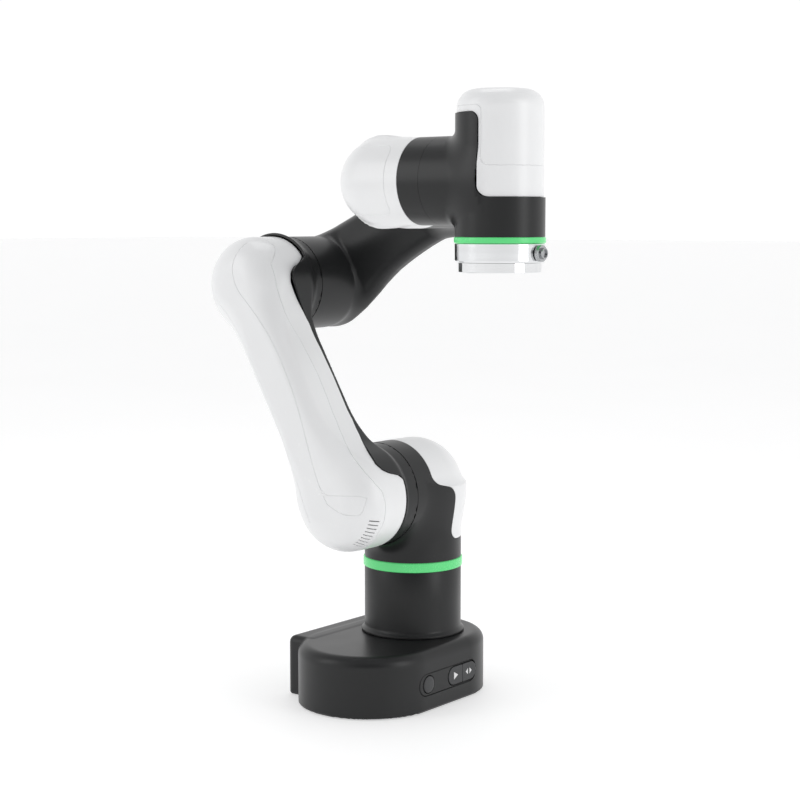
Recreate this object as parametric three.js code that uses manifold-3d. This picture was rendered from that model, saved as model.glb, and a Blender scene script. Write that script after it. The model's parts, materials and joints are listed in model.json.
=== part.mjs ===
// Desktop six-axis robot arm, as an assembly of separate pieces.
// Millimetres, +Z up. The origin is on the base joint's axis, at the underside of the base.
// +X points forwards, from the connector side of the base to its button side, and +Y is the robot's left.
import * as THREE from 'three';
import { LoftGeometry } from 'three/addons/geometries/LoftGeometry.js';
import { mergeVertices } from 'three/addons/utils/BufferGeometryUtils.js';
import Module from 'manifold-3d';

const wasm = await Module();
wasm.setup();

// ---- driving dimensions ----

const GAP = 0.3; // clearance between neighbouring pieces
const FACETS = 26; // sides of the outer round shapes
const INNER_FACETS = 12; // sides of the round pieces inside

// base
const BASE_RADIUS = 59.8;
const BASE_NEAR_Y = -60.3; // centre of the stadium's near end
const BASE_FAR_Y = 2.6; // centre of its far end
const BASE_MID_Y = (BASE_NEAR_Y + BASE_FAR_Y) / 2;
const BASE_HEIGHT = 51;
const BASE_ROUNDING = 9;
const BASE_LIFT = 0.8; // the casting stands this far above the foot of the base plate
const BASE_WALL = 3.2;
const PLATE_HEIGHT = 3;
const BOSS_X = -70; // rear face of the connector block
const BOSS_HALF_LENGTH = 56.6;
const BOSS_ROUNDING = 6;
const PLATE_SCREWS = [[40, -78], [-40, -78], [40, 22], [-40, 22]];
const SCREW_RADIUS = 2.2;
const POST_RADIUS = 5;
const BOARD_Z = 7; // underside of the control board
const BOARD_THICKNESS = 2;

// buttons on the front of the base
const PANEL_Z = 23;
const PANEL_HALF = 40;
const PANEL_HALF_HEIGHT = 9.5;
const PANEL_FACE_X = BASE_RADIUS - 0.6;
const PANEL_THICKNESS = 2.6;
const POWER_Y = BASE_MID_Y - 27.5;
const POWER_RADIUS = 7;
const KEYPAD_Y = BASE_MID_Y + 19.5;
const KEYPAD_HALF = 19.6;
const KEYPAD_HALF_HEIGHT = 7.7;
const BUTTON_DEPTH = 5;

// connectors on its rear
const PORT_Z = 26;
const PORT_HALF = 44;
const PORT_HALF_HEIGHT = 17;
const PORT_PANEL_X = BOSS_X + 0.5;
const PORT_PANEL_THICKNESS = 2.5;
const POWER_INLET_Y = BASE_MID_Y + 28;
const POWER_INLET_RADIUS = 8;
const NETWORK_Y = BASE_MID_Y;
const NETWORK_HALF = 16;
const NETWORK_PITCH = 16;
const SIGNAL_Y = BASE_MID_Y - 29;
const SIGNAL_HALF = 11;
const SOCKET_HALF_HEIGHT = 7;
const MOUTH_HALF_HEIGHT = 4.5;
const SOCKET_FRONT = BOSS_X + 0.2;
const SOCKET_BACK = BOSS_X + 15;

// column and shoulder
const COLUMN_RADIUS = 41.6;
const COLUMN_BORE = 36.5;
const COLLAR_RADIUS = 44.5;
const RING_LOW = 108.2;
const RING_HIGH = 115.9;
const RING_RADIUS = 42.7;
const J2_HEIGHT = 176;
const J2_RADIUS = 42.4;
const J2_SPLIT_Y = -48.1; // plane where the upper arm turns on the shoulder
const SHELL_WALL = 3;
const SHOULDER_FLOOR = RING_HIGH + GAP;
const CAP_TOP_Y = -27; // the cap wraps forwards to here over the joint
const TONGUE_Y = -0.8; // below the joint it keeps behind this plane
const TONGUE_LOW = 133.5;
const CAP_STEP_Z = 182;
const FLOOR_THICKNESS = 9;
const SHOULDER_BORE = 20; // cable hole in the shoulder's floor

// upper arm
const UPPER_LENGTH = 200;
const UPPER_LEAN = THREE.MathUtils.degToRad(-30); // stored pose, turned about +Y
const COVER_BACK_Y = -65;
const COVER_FRONT_Y = -117;
// rounding of the cover's front edge, at each end and between
const COVER_ROUNDING = { low: 21, high: 28, waist: 13, depth: 18 };
const LOWER_END_RADIUS = 44;
const UPPER_END_RADIUS = 40.6;
const WAIST = 23;
const UPPER_BONE = {
  low: LOWER_END_RADIUS,
  high: UPPER_END_RADIUS,
  length: UPPER_LENGTH,
  waist: WAIST,
  lowSide: 0.55,
  highSide: 0.5,
};
const COVER_WALL = 2.6;
const WEB_BACK_Y = -65.6; // the casting's web shows between the two ends, behind the cover
const WEB_FRONT_Y = -70;
const WEB_LOW = 36;
const WEB_HIGH = UPPER_LENGTH - 34;
const CORE_FRONT_Y = -76;

// forearm
const J3_RADIUS = 40.2;
const FORE_LENGTH = 168;
const FORE_RISE = THREE.MathUtils.degToRad(30); // stored pose, above the horizontal
const ELBOW_BACK_Y = 24;
const J4_RADIUS = 36.5;
const J4_SPLIT_Y = -42;
const FORE_BACK_Y = 22;
const FORE_BONE = {
  low: 39,
  high: J4_RADIUS - 1,
  length: FORE_LENGTH,
  waist: 32,
  lowSide: 0.35,
  highSide: 0.3,
};
const FORE_ROUNDING = { low: 5, high: 5, waist: 5, depth: 5 };
const DRUM_ROUNDING = 8;
const LINK_FRONT_Y = 2;
const ELBOW_CAP_Y = 10; // the rear caps of the two joints start here
const CAP_LEDGE = 6;

// wrist
const WRIST_Y = -98;
const WRIST_RADIUS = 33.9;
const J5_CAP_LENGTH = 39; // from the J4 axis to the edge of the white cap
const J5_SPLIT = 59.2; // from the J4 axis to the plane where wrist 2 turns
const J6_OFFSET = 111.1; // from the J4 axis to the J6 axis
const STUB_TAPER_Y = -72; // the J4 stub narrows from here to the wrist's own radius
const WRIST_COLLAR_Y = -50; // the white cover ends here on the J4 stub
const SLEEVE = 2.6; // the castings' sleeves stand this far inside the covers
const WRIST1_WHITE = [-60, J5_CAP_LENGTH, -160, WRIST_COLLAR_Y, -60, 60];
const WRIST2_TOP = 67;
const COVER2_RADIUS = 32.7;
const COVER_EDGE_X = 2.6;
const COVER_LOW_Z = -12.7;
const COVER_SHOULDER_Z = 49.5;
const TOP_ROUNDING = 13.5;
const WRIST2_RING_HIGH = -42.4;
const WRIST2_RING_LOW = -46.7;
const FLANGE_STEP = -61.2;
const TOOL_FACE = -68.7;
const TOOL_RADIUS = 31.5;
const PILOT_RADIUS = 15.75;
const PILOT_DEPTH = 5;
const TOOL_BOLT_CIRCLE = 25;
const TOOL_BOLTS = 4;
const CONNECTOR_TURN = THREE.MathUtils.degToRad(1.5);
const CONNECTOR_Z = -54.2;
const CONNECTOR_RADIUS = 6.2;
const CONNECTOR_NECK = 4;
const KNURL_REACH = 3.8; // the knurled ring and the socket stand this far out of the flange
const CONNECTOR_REACH = 5.8;

// ---- solids ----

const X_AXIS = new THREE.Vector3(1, 0, 0);
const Y_AXIS = new THREE.Vector3(0, 1, 0);
const Z_AXIS = new THREE.Vector3(0, 0, 1);
const MINUS_X = new THREE.Vector3(-1, 0, 0);
const MINUS_Y = new THREE.Vector3(0, -1, 0);
const MINUS_Z = new THREE.Vector3(0, 0, -1);

function place(x = 0, y = 0, z = 0) {
  return new THREE.Matrix4().makeTranslation(x, y, z);
}

// A closed geometry as a manifold solid, with its faces turned outwards.
function solid(geometry, matrix = new THREE.Matrix4()) {
  const bare = new THREE.BufferGeometry();
  bare.setAttribute('position', geometry.getAttribute('position'));
  bare.setIndex(geometry.getIndex());
  bare.applyMatrix4(matrix);
  const merged = mergeVertices(bare, 1e-4);
  const p = merged.attributes.position;
  const index = merged.index.array;
  const triangles = [];
  let volume = 0;
  const a = new THREE.Vector3();
  const b = new THREE.Vector3();
  const c = new THREE.Vector3();
  for (let i = 0; i < index.length; i += 3) {
    const [u, v, w] = [index[i], index[i + 1], index[i + 2]];
    if (u === v || v === w || w === u) continue;
    triangles.push(u, v, w);
    a.fromBufferAttribute(p, u);
    b.fromBufferAttribute(p, v);
    c.fromBufferAttribute(p, w);
    volume += a.dot(b.cross(c));
  }
  if (volume < 0) triangles.reverse();
  return new wasm.Manifold(new wasm.Mesh({
    numProp: 3,
    vertProperties: new Float32Array(p.array),
    triVerts: new Uint32Array(triangles),
  }));
}

function join(first, ...rest) {
  return rest.reduce((sum, s) => sum.add(s), first);
}

function cut(first, ...rest) {
  return rest.reduce((sum, s) => sum.subtract(s), first);
}

function box(x0, x1, y0, y1, z0, z1) {
  return solid(
    new THREE.BoxGeometry(x1 - x0, y1 - y0, z1 - z0),
    place((x0 + x1) / 2, (y0 + y1) / 2, (z0 + z1) / 2),
  );
}

// A solid of revolution: profile is [radius, height] pairs that start and end on the axis or close.
function turned(profile, axis = Z_AXIS, [x, y, z] = [0, 0, 0], facets = FACETS) {
  const points = profile.map(([r, h]) => new THREE.Vector2(r, h));
  const turn = new THREE.Quaternion().setFromUnitVectors(Y_AXIS, axis);
  const matrix = new THREE.Matrix4().compose(new THREE.Vector3(x, y, z), turn, new THREE.Vector3(1, 1, 1));
  return solid(new THREE.LatheGeometry(points, facets), matrix);
}

function rod(radius, low, high, axis, at, facets = FACETS) {
  return turned([[0, low], [radius, low], [radius, high], [0, high]], axis, at, facets);
}

function ring(outer, inner, low, high, axis, at, facets = FACETS) {
  return turned([[inner, low], [outer, low], [outer, high], [inner, high], [inner, low]], axis, at, facets);
}

// A rod that ends in a hemisphere beyond `high`.
function capsule(radius, low, high, axis, at, facets = FACETS) {
  const steps = 4;
  const dome = [];
  for (let i = 0; i <= steps; i++) {
    const t = (i / steps) * Math.PI / 2;
    dome.push([i === steps ? 0 : radius * Math.cos(t), high + radius * Math.sin(t)]);
  }
  return turned([[0, low], [radius, low], ...dome], axis, at, facets);
}

// A flat outline in X and Z, extruded along Y from y0 to y1.
function slab(shape, y0, y1, curveSegments = 3) {
  const flat = new THREE.ExtrudeGeometry(shape, { depth: y1 - y0, bevelEnabled: false, curveSegments });
  return solid(flat, place(0, y1, 0).multiply(new THREE.Matrix4().makeRotationX(Math.PI / 2)));
}

// A flat outline in Y and Z, extruded along X from x0 to x1.
function sideSlab(shape, x0, x1, curveSegments = 3) {
  const flat = new THREE.ExtrudeGeometry(shape, { depth: x1 - x0, bevelEnabled: false, curveSegments });
  const turn = new THREE.Matrix4().makeBasis(Y_AXIS, Z_AXIS, X_AXIS);
  return solid(flat, place(x0, 0, 0).multiply(turn));
}

// Nested outlines joined into one solid; each section is a list of points wound the same way.
function loft(sections) {
  return solid(new LoftGeometry(sections, { capStart: true, capEnd: true }));
}

// ---- the assembly ----

const arm = new THREE.Group();

const finishes = {
  charcoal: { color: 0x3b3d3e, roughness: 0.42, metalness: 0.3 },
  shell: { color: 0xe9eaeb, roughness: 0.35, metalness: 0 },
  light: { color: 0x5ccb70, roughness: 0.3, metalness: 0 },
  alloy: { color: 0xc9cbce, roughness: 0.2, metalness: 1 },
  steel: { color: 0x8d9093, roughness: 0.35, metalness: 1 },
  black: { color: 0x1b1c1d, roughness: 0.5, metalness: 0 },
  board: { color: 0x1f5a3a, roughness: 0.6, metalness: 0 },
  copper: { color: 0xb06a3c, roughness: 0.4, metalness: 0.8 },
};

function add(name, piece, finish, link = arm) {
  const { numProp, vertProperties, triVerts } = piece.getMesh();
  const position = new Float32Array(vertProperties.length / numProp * 3);
  for (let i = 0; i < position.length / 3; i++) {
    for (let k = 0; k < 3; k++) position[i * 3 + k] = vertProperties[i * numProp + k];
  }
  const geometry = new THREE.BufferGeometry();
  geometry.setAttribute('position', new THREE.BufferAttribute(position, 3));
  geometry.setIndex(new THREE.BufferAttribute(triVerts, 1));
  geometry.computeVertexNormals();
  const mesh = new THREE.Mesh(geometry, new THREE.MeshStandardMaterial(finishes[finish]));
  mesh.name = name;
  link.add(mesh);
}

// ---- base ----

function stadium(radius, z, steps = 13) {
  const points = [];
  for (let i = 0; i <= steps; i++) {
    const t = (i / steps) * Math.PI;
    points.push(new THREE.Vector3(radius * Math.cos(t), BASE_FAR_Y + radius * Math.sin(t), z));
  }
  for (let i = 0; i <= steps; i++) {
    const t = Math.PI + (i / steps) * Math.PI;
    points.push(new THREE.Vector3(radius * Math.cos(t), BASE_NEAR_Y + radius * Math.sin(t), z));
  }
  return points;
}

function stadiumBlock(radius, low, high, rounding = 0) {
  const sections = [stadium(radius, low)];
  const steps = rounding ? 3 : 0;
  for (let i = 0; i <= steps; i++) {
    const t = steps ? (i / steps) * Math.PI / 2 : 0;
    const inset = rounding * (1 - Math.cos(t));
    sections.push(stadium(radius - inset, high - rounding + rounding * Math.sin(t)));
  }
  return loft(sections);
}

// Outline of a rounded bar: half lengths a and b about (u, v), in the plane of the outline.
function roundedBar(u, v, a, b, radius) {
  const shape = new THREE.Shape();
  const corners = [[a, b, 0], [-a, b, 1], [-a, -b, 2], [a, -b, 3]];
  for (const [x, y, quarter] of corners) {
    const start = quarter * Math.PI / 2;
    const cx = u + x - Math.sign(x) * radius;
    const cy = v + y - Math.sign(y) * radius;
    shape.absarc(cx, cy, radius, start, start + Math.PI / 2, false);
  }
  shape.closePath();
  return shape;
}

function baseCasting() {
  const block = join(
    stadiumBlock(BASE_RADIUS, BASE_LIFT, BASE_HEIGHT, BASE_ROUNDING),
    sideSlab(roundedBar(BASE_MID_Y, (BASE_HEIGHT + BASE_LIFT) / 2, BOSS_HALF_LENGTH,
      (BASE_HEIGHT - BASE_LIFT) / 2, BOSS_ROUNDING), BOSS_X, -BASE_RADIUS + 12, 3),
  );
  const inside = stadiumBlock(BASE_RADIUS - BASE_WALL, -1, BASE_HEIGHT - BASE_WALL, 5);
  const portWindow = box(BOSS_X - 1, BOSS_X + 20, BASE_MID_Y - PORT_HALF, BASE_MID_Y + PORT_HALF,
    PORT_Z - PORT_HALF_HEIGHT, PORT_Z + PORT_HALF_HEIGHT);
  const panelWindow = sideSlab(
    roundedBar(BASE_MID_Y, PANEL_Z, PANEL_HALF, PANEL_HALF_HEIGHT, PANEL_HALF_HEIGHT - 0.1),
    PANEL_FACE_X - 10, PANEL_FACE_X + 10, 4);
  const neck = rod(34, BASE_HEIGHT - 8, BASE_HEIGHT + 2, Z_AXIS, [0, 0, 0], 18);
  const posts = PLATE_SCREWS.map(([x, y]) => (
    rod(POST_RADIUS, PLATE_HEIGHT + GAP, BASE_HEIGHT - 2, Z_AXIS, [x, y, 0], 8)));
  const threads = PLATE_SCREWS.map(([x, y]) => rod(SCREW_RADIUS + GAP, 0, 14, Z_AXIS, [x, y, 0], 8));
  return cut(join(cut(block, inside, portWindow, panelWindow, neck), ...posts), ...threads);
}

function basePlate() {
  const plate = stadiumBlock(BASE_RADIUS - BASE_WALL - GAP, 0, PLATE_HEIGHT);
  return cut(plate, ...PLATE_SCREWS.map(([x, y]) => (
    rod(SCREW_RADIUS + GAP, -1, PLATE_HEIGHT + 1, Z_AXIS, [x, y, 0], 8))));
}

function plateScrew([x, y]) {
  return rod(SCREW_RADIUS, 0.4, 9, Z_AXIS, [x, y, 0], 8);
}

// A rectangular hole or body on the rear face, centred on y.
function rearBlock(x0, x1, y, half, halfHeight) {
  return box(x0, x1, y - half, y + half, PORT_Z - halfHeight, PORT_Z + halfHeight);
}

function portPanel() {
  const panel = sideSlab(roundedBar(BASE_MID_Y, PORT_Z, PORT_HALF - GAP, PORT_HALF_HEIGHT - GAP, 1),
    PORT_PANEL_X, PORT_PANEL_X + PORT_PANEL_THICKNESS, 2);
  return cut(
    panel,
    rod(POWER_INLET_RADIUS + GAP, BOSS_X - 10, BOSS_X + 10, X_AXIS, [0, POWER_INLET_Y, PORT_Z], 20),
    rearBlock(BOSS_X - 10, BOSS_X + 10, NETWORK_Y, NETWORK_HALF + GAP, SOCKET_HALF_HEIGHT + GAP),
    rearBlock(BOSS_X - 10, BOSS_X + 10, SIGNAL_Y, SIGNAL_HALF + GAP, SOCKET_HALF_HEIGHT + GAP),
  );
}

// Round locking power socket, open to the rear.
function powerInlet() {
  const at = [SOCKET_FRONT, POWER_INLET_Y, PORT_Z];
  return cut(
    rod(POWER_INLET_RADIUS, 0, SOCKET_BACK - SOCKET_FRONT, X_AXIS, at, 20),
    rod(POWER_INLET_RADIUS - 1.6, -1, 9, X_AXIS, at, 20),
  );
}

// Two network sockets in one housing.
function networkPorts() {
  const shell = rearBlock(SOCKET_FRONT, SOCKET_BACK, NETWORK_Y, NETWORK_HALF, SOCKET_HALF_HEIGHT);
  const mouths = [-NETWORK_PITCH / 2, NETWORK_PITCH / 2].map((y) => (
    rearBlock(SOCKET_FRONT - 1, SOCKET_FRONT + 11, NETWORK_Y + y, 6, MOUTH_HALF_HEIGHT)));
  return cut(shell, ...mouths);
}

// Input and output terminal socket.
function signalPort() {
  return cut(
    rearBlock(SOCKET_FRONT, SOCKET_BACK, SIGNAL_Y, SIGNAL_HALF, SOCKET_HALF_HEIGHT),
    rearBlock(SOCKET_FRONT - 1, SOCKET_FRONT + 8, SIGNAL_Y, SIGNAL_HALF - 1.8, MOUTH_HALF_HEIGHT),
  );
}

function buttonPanel() {
  const plate = sideSlab(roundedBar(BASE_MID_Y, PANEL_Z, PANEL_HALF - GAP, PANEL_HALF_HEIGHT - GAP,
    PANEL_HALF_HEIGHT - GAP - 0.1), PANEL_FACE_X - PANEL_THICKNESS, PANEL_FACE_X, 4);
  return cut(
    plate,
    rod(POWER_RADIUS + GAP, PANEL_FACE_X - 10, PANEL_FACE_X + 10, X_AXIS, [0, POWER_Y, PANEL_Z], 20),
    sideSlab(roundedBar(KEYPAD_Y, PANEL_Z, KEYPAD_HALF + GAP, KEYPAD_HALF_HEIGHT + GAP, KEYPAD_HALF_HEIGHT),
      PANEL_FACE_X - 10, PANEL_FACE_X + 10, 4),
  );
}

function powerButton() {
  const profile = [[0, -BUTTON_DEPTH], [POWER_RADIUS, -BUTTON_DEPTH], [POWER_RADIUS, 0.2],
    [POWER_RADIUS - 1, 0.9], [0, 1.3]];
  return turned(profile, X_AXIS, [PANEL_FACE_X, POWER_Y, PANEL_Z], 20);
}

// One half of the keypad: side -1 is the near key, +1 the far key.
function keypadKey(side) {
  const outline = roundedBar(KEYPAD_Y, PANEL_Z, KEYPAD_HALF, KEYPAD_HALF_HEIGHT, KEYPAD_HALF_HEIGHT - 0.3);
  const pad = sideSlab(outline, PANEL_FACE_X - BUTTON_DEPTH, PANEL_FACE_X + 0.8, 4);
  const other = side > 0
    ? box(0, 80, KEYPAD_Y - 40, KEYPAD_Y + GAP / 2, 0, BASE_HEIGHT)
    : box(0, 80, KEYPAD_Y - GAP / 2, KEYPAD_Y + 40, 0, BASE_HEIGHT);
  return cut(pad, other);
}

function controlBoard() {
  return cut(
    box(-34, 34, -76, 16, BOARD_Z, BOARD_Z + BOARD_THICKNESS),
    rod(17, BOARD_Z - 2, BOARD_Z + 5, Z_AXIS, [0, 0, 0], INNER_FACETS),
  );
}

function column() {
  const low = BASE_HEIGHT + GAP;
  const high = RING_LOW - GAP;
  return turned([
    [COLUMN_BORE, low], [COLLAR_RADIUS, low], [COLLAR_RADIUS, low + 1.6], [COLUMN_RADIUS + 0.5, low + 4.7],
    [COLUMN_RADIUS, low + 8], [COLUMN_RADIUS, high], [COLUMN_BORE, high], [COLUMN_BORE, low],
  ]);
}

function lightRing(radius, wall, low, high, at) {
  return ring(radius, radius - wall, low, high, Z_AXIS, at);
}

add('base_casting', baseCasting(), 'charcoal');
add('base_plate', basePlate(), 'steel');
PLATE_SCREWS.forEach((at, i) => add(`base_screw_${i + 1}`, plateScrew(at), 'steel'));
add('rear_connector_panel', portPanel(), 'black');
add('power_inlet', powerInlet(), 'alloy');
add('network_ports', networkPorts(), 'alloy');
add('signal_port', signalPort(), 'black');
add('button_panel', buttonPanel(), 'charcoal');
add('power_button', powerButton(), 'black');
add('run_button', keypadKey(-1), 'black');
add('mode_button', keypadKey(1), 'black');
add('control_board', controlBoard(), 'board');
add('column', column(), 'charcoal');
add('base_light_ring', lightRing(RING_RADIUS, 5, RING_LOW, RING_HIGH), 'light');

// ---- joint modules ----

// Every joint holds the same parts on one axis, from the back of the module to its output face:
// a drive board, a motor, a strain wave gear and, on the next link, an output flange.
// `back` and `face` are measured from `at` along the axis; the bore carries the cables.
function jointModule(number, size, axis, at, back, face, link = arm) {
  const bore = size.bore;
  const boardEnd = back + 2;
  const motorStart = boardEnd + 3;
  const gearStart = motorStart + size.motorLength + 1;
  const gearEnd = face - GAP;
  add(`j${number}_drive_board`, ring(size.boardRadius, bore + 1, back, boardEnd, axis, at, INNER_FACETS),
    'board', link);
  add(`j${number}_motor`,
    ring(size.motorRadius, bore + 1, motorStart, motorStart + size.motorLength, axis, at, INNER_FACETS),
    'copper', link);
  add(`j${number}_gear`, turned([
    [bore + 1, gearStart], [size.motorRadius, gearStart], [size.motorRadius, gearStart + 3],
    [size.gearRadius, gearStart + 3], [size.gearRadius, gearEnd], [bore + 1, gearEnd], [bore + 1, gearStart],
  ], axis, at, INNER_FACETS), 'steel', link);
}

function outputFlange(number, size, axis, at, low, high, link = arm) {
  const disc = ring(size.gearRadius, size.bore, low, high, axis, at, INNER_FACETS);
  add(`j${number}_output_flange`, disc, 'steel', link);
}

const LARGE = { bore: 6, boardRadius: 33, motorRadius: 29, motorLength: 20, gearRadius: 33 };
const MIDDLE = { bore: 6, boardRadius: 31, motorRadius: 28, motorLength: 18, gearRadius: 32 };
const SMALL = { bore: 5, boardRadius: 26, motorRadius: 24, motorLength: 16, gearRadius: 27 };

jointModule(1, LARGE, Z_AXIS, [0, 0, 0], 58, RING_HIGH - 7);
outputFlange(1, LARGE, Z_AXIS, [0, 0, 0], RING_HIGH - 7, RING_HIGH + 1.4);

// ---- shoulder ----

function shoulderOuter(skin = 0) {
  return join(
    rod(COLUMN_RADIUS - skin, SHOULDER_FLOOR + skin, J2_HEIGHT, Z_AXIS, [0, 0, 0]),
    capsule(J2_RADIUS - skin, J2_SPLIT_Y, 0, Y_AXIS, [0, 0, J2_HEIGHT]),
  );
}

// The region behind the cap's edge, in Y and Z; `edge` moves the edge backwards.
function capRegion(edge) {
  const shape = new THREE.Shape();
  shape.moveTo(CAP_TOP_Y + edge, 240);
  shape.lineTo(CAP_TOP_Y + edge, CAP_STEP_Z + 8 + edge);
  shape.quadraticCurveTo(CAP_TOP_Y + edge, CAP_STEP_Z + edge, CAP_TOP_Y + 9 + edge, CAP_STEP_Z + edge);
  shape.lineTo(TONGUE_Y - 8 + edge, CAP_STEP_Z - 1 + edge);
  shape.quadraticCurveTo(TONGUE_Y + edge, CAP_STEP_Z - 1 + edge, TONGUE_Y + edge, CAP_STEP_Z - 10);
  shape.lineTo(TONGUE_Y + edge, TONGUE_LOW + 9);
  shape.quadraticCurveTo(TONGUE_Y + edge, TONGUE_LOW + edge, TONGUE_Y + 9, TONGUE_LOW + edge);
  shape.lineTo(60, TONGUE_LOW + edge);
  shape.lineTo(60, 240);
  shape.closePath();
  return sideSlab(shape, -60, 60, 3);
}

function shoulderCasting() {
  const floorTop = SHOULDER_FLOOR + FLOOR_THICKNESS;
  return cut(
    shoulderOuter(),
    capRegion(0),
    capsule(J2_RADIUS - SHELL_WALL, J2_SPLIT_Y - 1, 0, Y_AXIS, [0, 0, J2_HEIGHT]),
    rod(COLUMN_RADIUS - SHELL_WALL, floorTop, J2_HEIGHT, Z_AXIS, [0, 0, 0]),
    rod(LARGE.gearRadius + GAP, SHOULDER_FLOOR - 1, SHOULDER_FLOOR + 1.4, Z_AXIS, [0, 0, 0], INNER_FACETS),
    rod(SHOULDER_BORE, SHOULDER_FLOOR - 2, floorTop + 3, Z_AXIS, [0, 0, 0], INNER_FACETS),
  );
}

function shoulderCap() {
  return cut(shoulderOuter().intersect(capRegion(GAP)), shoulderOuter(SHELL_WALL - 0.6),
    rod(COLUMN_RADIUS - SHELL_WALL + 0.6, 100, J2_HEIGHT + 1, Z_AXIS, [0, 0, 0]));
}

add('shoulder_casting', shoulderCasting(), 'charcoal');
add('shoulder_rear_cap', shoulderCap(), 'shell');
jointModule(2, LARGE, MINUS_Y, [0, 0, J2_HEIGHT], -12, -J2_SPLIT_Y - 6);

// ---- upper arm ----

// Links are built in frames of their own: z runs along the link, x across it and y stays the robot's left.
function linkFrame(x, y, z, turnAboutY) {
  const frame = new THREE.Group();
  frame.position.set(x, y, z);
  frame.rotation.y = turnAboutY;
  arm.add(frame);
  return frame;
}

// Outline of a link with a round boss at each end and a narrower waist between them.
function boneOutline({ low, high, length, waist, lowSide, highSide }, y) {
  const points = [];
  const curve = new THREE.CurvePath();
  const start = new THREE.Vector2(low * Math.cos(lowSide), low * Math.sin(lowSide));
  const middle = new THREE.Vector2(waist, length / 2);
  const end = new THREE.Vector2(high * Math.cos(highSide), length - high * Math.sin(highSide));
  const reach = 0.42 * (length / 2);
  const endReach = 0.7 * reach;
  curve.add(new THREE.CubicBezierCurve(start,
    new THREE.Vector2(start.x - endReach * Math.sin(lowSide), start.y + endReach * Math.cos(lowSide)),
    new THREE.Vector2(waist, length / 2 - reach), middle));
  curve.add(new THREE.CubicBezierCurve(middle, new THREE.Vector2(waist, length / 2 + reach),
    new THREE.Vector2(end.x - endReach * Math.sin(highSide), end.y - endReach * Math.cos(highSide)), end));
  const side = curve.getPoints(3).slice(1, -1);
  const arcSteps = 9;
  for (let i = 0; i <= arcSteps; i++) {
    const t = Math.PI - lowSide + (i / arcSteps) * (Math.PI + 2 * lowSide);
    points.push(new THREE.Vector3(low * Math.cos(t), y, low * Math.sin(t)));
  }
  side.forEach((p) => points.push(new THREE.Vector3(p.x, y, p.y)));
  for (let i = 0; i <= arcSteps; i++) {
    const t = -highSide + (i / arcSteps) * (Math.PI + 2 * highSide);
    points.push(new THREE.Vector3(high * Math.cos(t), y, length + high * Math.sin(t)));
  }
  [...side].reverse().forEach((p) => points.push(new THREE.Vector3(-p.x, y, p.y)));
  return points;
}

// The bone with its two ends and its waist made smaller by these amounts.
function shrink(bone, low, high = low, waist = low) {
  return { ...bone, low: bone.low - low, high: bone.high - high, waist: bone.waist - waist };
}

// A bone-shaped plate with square edges; y0 is behind y1.
function bonePlate(bone, y0, y1) {
  return loft([boneOutline(bone, y0), boneOutline(bone, y1)]);
}

// A bone-shaped block from y0 to y1 whose edge at y1 is rounded by the amounts in `edge`.
function boneBlock(bone, y0, y1, edge) {
  const sections = [boneOutline(bone, y0)];
  const steps = 3;
  const forwards = Math.sign(y1 - y0);
  for (let i = 0; i <= steps; i++) {
    const t = (i / steps) * Math.PI / 2;
    const k = 1 - Math.cos(t);
    const y = y1 - forwards * edge.depth * (1 - Math.sin(t));
    sections.push(boneOutline(shrink(bone, edge.low * k, edge.high * k, edge.waist * k), y));
  }
  if (forwards > 0) sections.forEach((section) => section.reverse());
  return loft(sections);
}

const upperArm = linkFrame(0, 0, J2_HEIGHT, UPPER_LEAN);

function upperArmCover() {
  const outer = boneBlock(UPPER_BONE, COVER_BACK_Y, COVER_FRONT_Y, COVER_ROUNDING);
  const inner = boneBlock(shrink(UPPER_BONE, COVER_WALL), COVER_BACK_Y + 1, COVER_FRONT_Y + COVER_WALL,
    COVER_ROUNDING);
  const web = box(-60, 60, WEB_FRONT_Y, COVER_BACK_Y + 1, WEB_LOW, WEB_HIGH);
  return cut(outer, inner, web);
}

function upperArmCasting() {
  const core = bonePlate(shrink(UPPER_BONE, COVER_WALL + GAP), COVER_BACK_Y + 2, CORE_FRONT_Y);
  const web = bonePlate(UPPER_BONE, WEB_BACK_Y, WEB_FRONT_Y + GAP)
    .intersect(box(-60, 60, -80, -60, WEB_LOW + GAP, WEB_HIGH - GAP));
  const lowStub = rod(J2_RADIUS, -J2_SPLIT_Y + GAP, -COVER_BACK_Y - GAP, MINUS_Y, [0, 0, 0]);
  const highStub = rod(J3_RADIUS, -J2_SPLIT_Y + GAP, -COVER_BACK_Y - GAP, MINUS_Y, [0, 0, UPPER_LENGTH]);
  const lowRoom = rod(LARGE.gearRadius + GAP, 40, 60, MINUS_Y, [0, 0, 0], INNER_FACETS);
  const highRoom = rod(MIDDLE.gearRadius + GAP, 40, 60, MINUS_Y, [0, 0, UPPER_LENGTH], INNER_FACETS);
  const cableways = [0, UPPER_LENGTH].map((z) => rod(18, 50, 80, MINUS_Y, [0, 0, z], INNER_FACETS));
  return cut(join(core, web, lowStub, highStub), lowRoom, highRoom, ...cableways);
}

add('upper_arm_casting', upperArmCasting(), 'charcoal', upperArm);
add('upper_arm_cover', upperArmCover(), 'shell', upperArm);
outputFlange(2, LARGE, MINUS_Y, [0, 0, 0], -J2_SPLIT_Y - 6, 60 - GAP, upperArm);
outputFlange(3, MIDDLE, MINUS_Y, [0, 0, UPPER_LENGTH], -J2_SPLIT_Y - 6, 60 - GAP, upperArm);

// ---- forearm ----

const elbowX = UPPER_LENGTH * Math.sin(UPPER_LEAN);
const elbowZ = J2_HEIGHT + UPPER_LENGTH * Math.cos(UPPER_LEAN);
const forearm = linkFrame(elbowX, 0, elbowZ, Math.PI / 2 - FORE_RISE);

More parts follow.
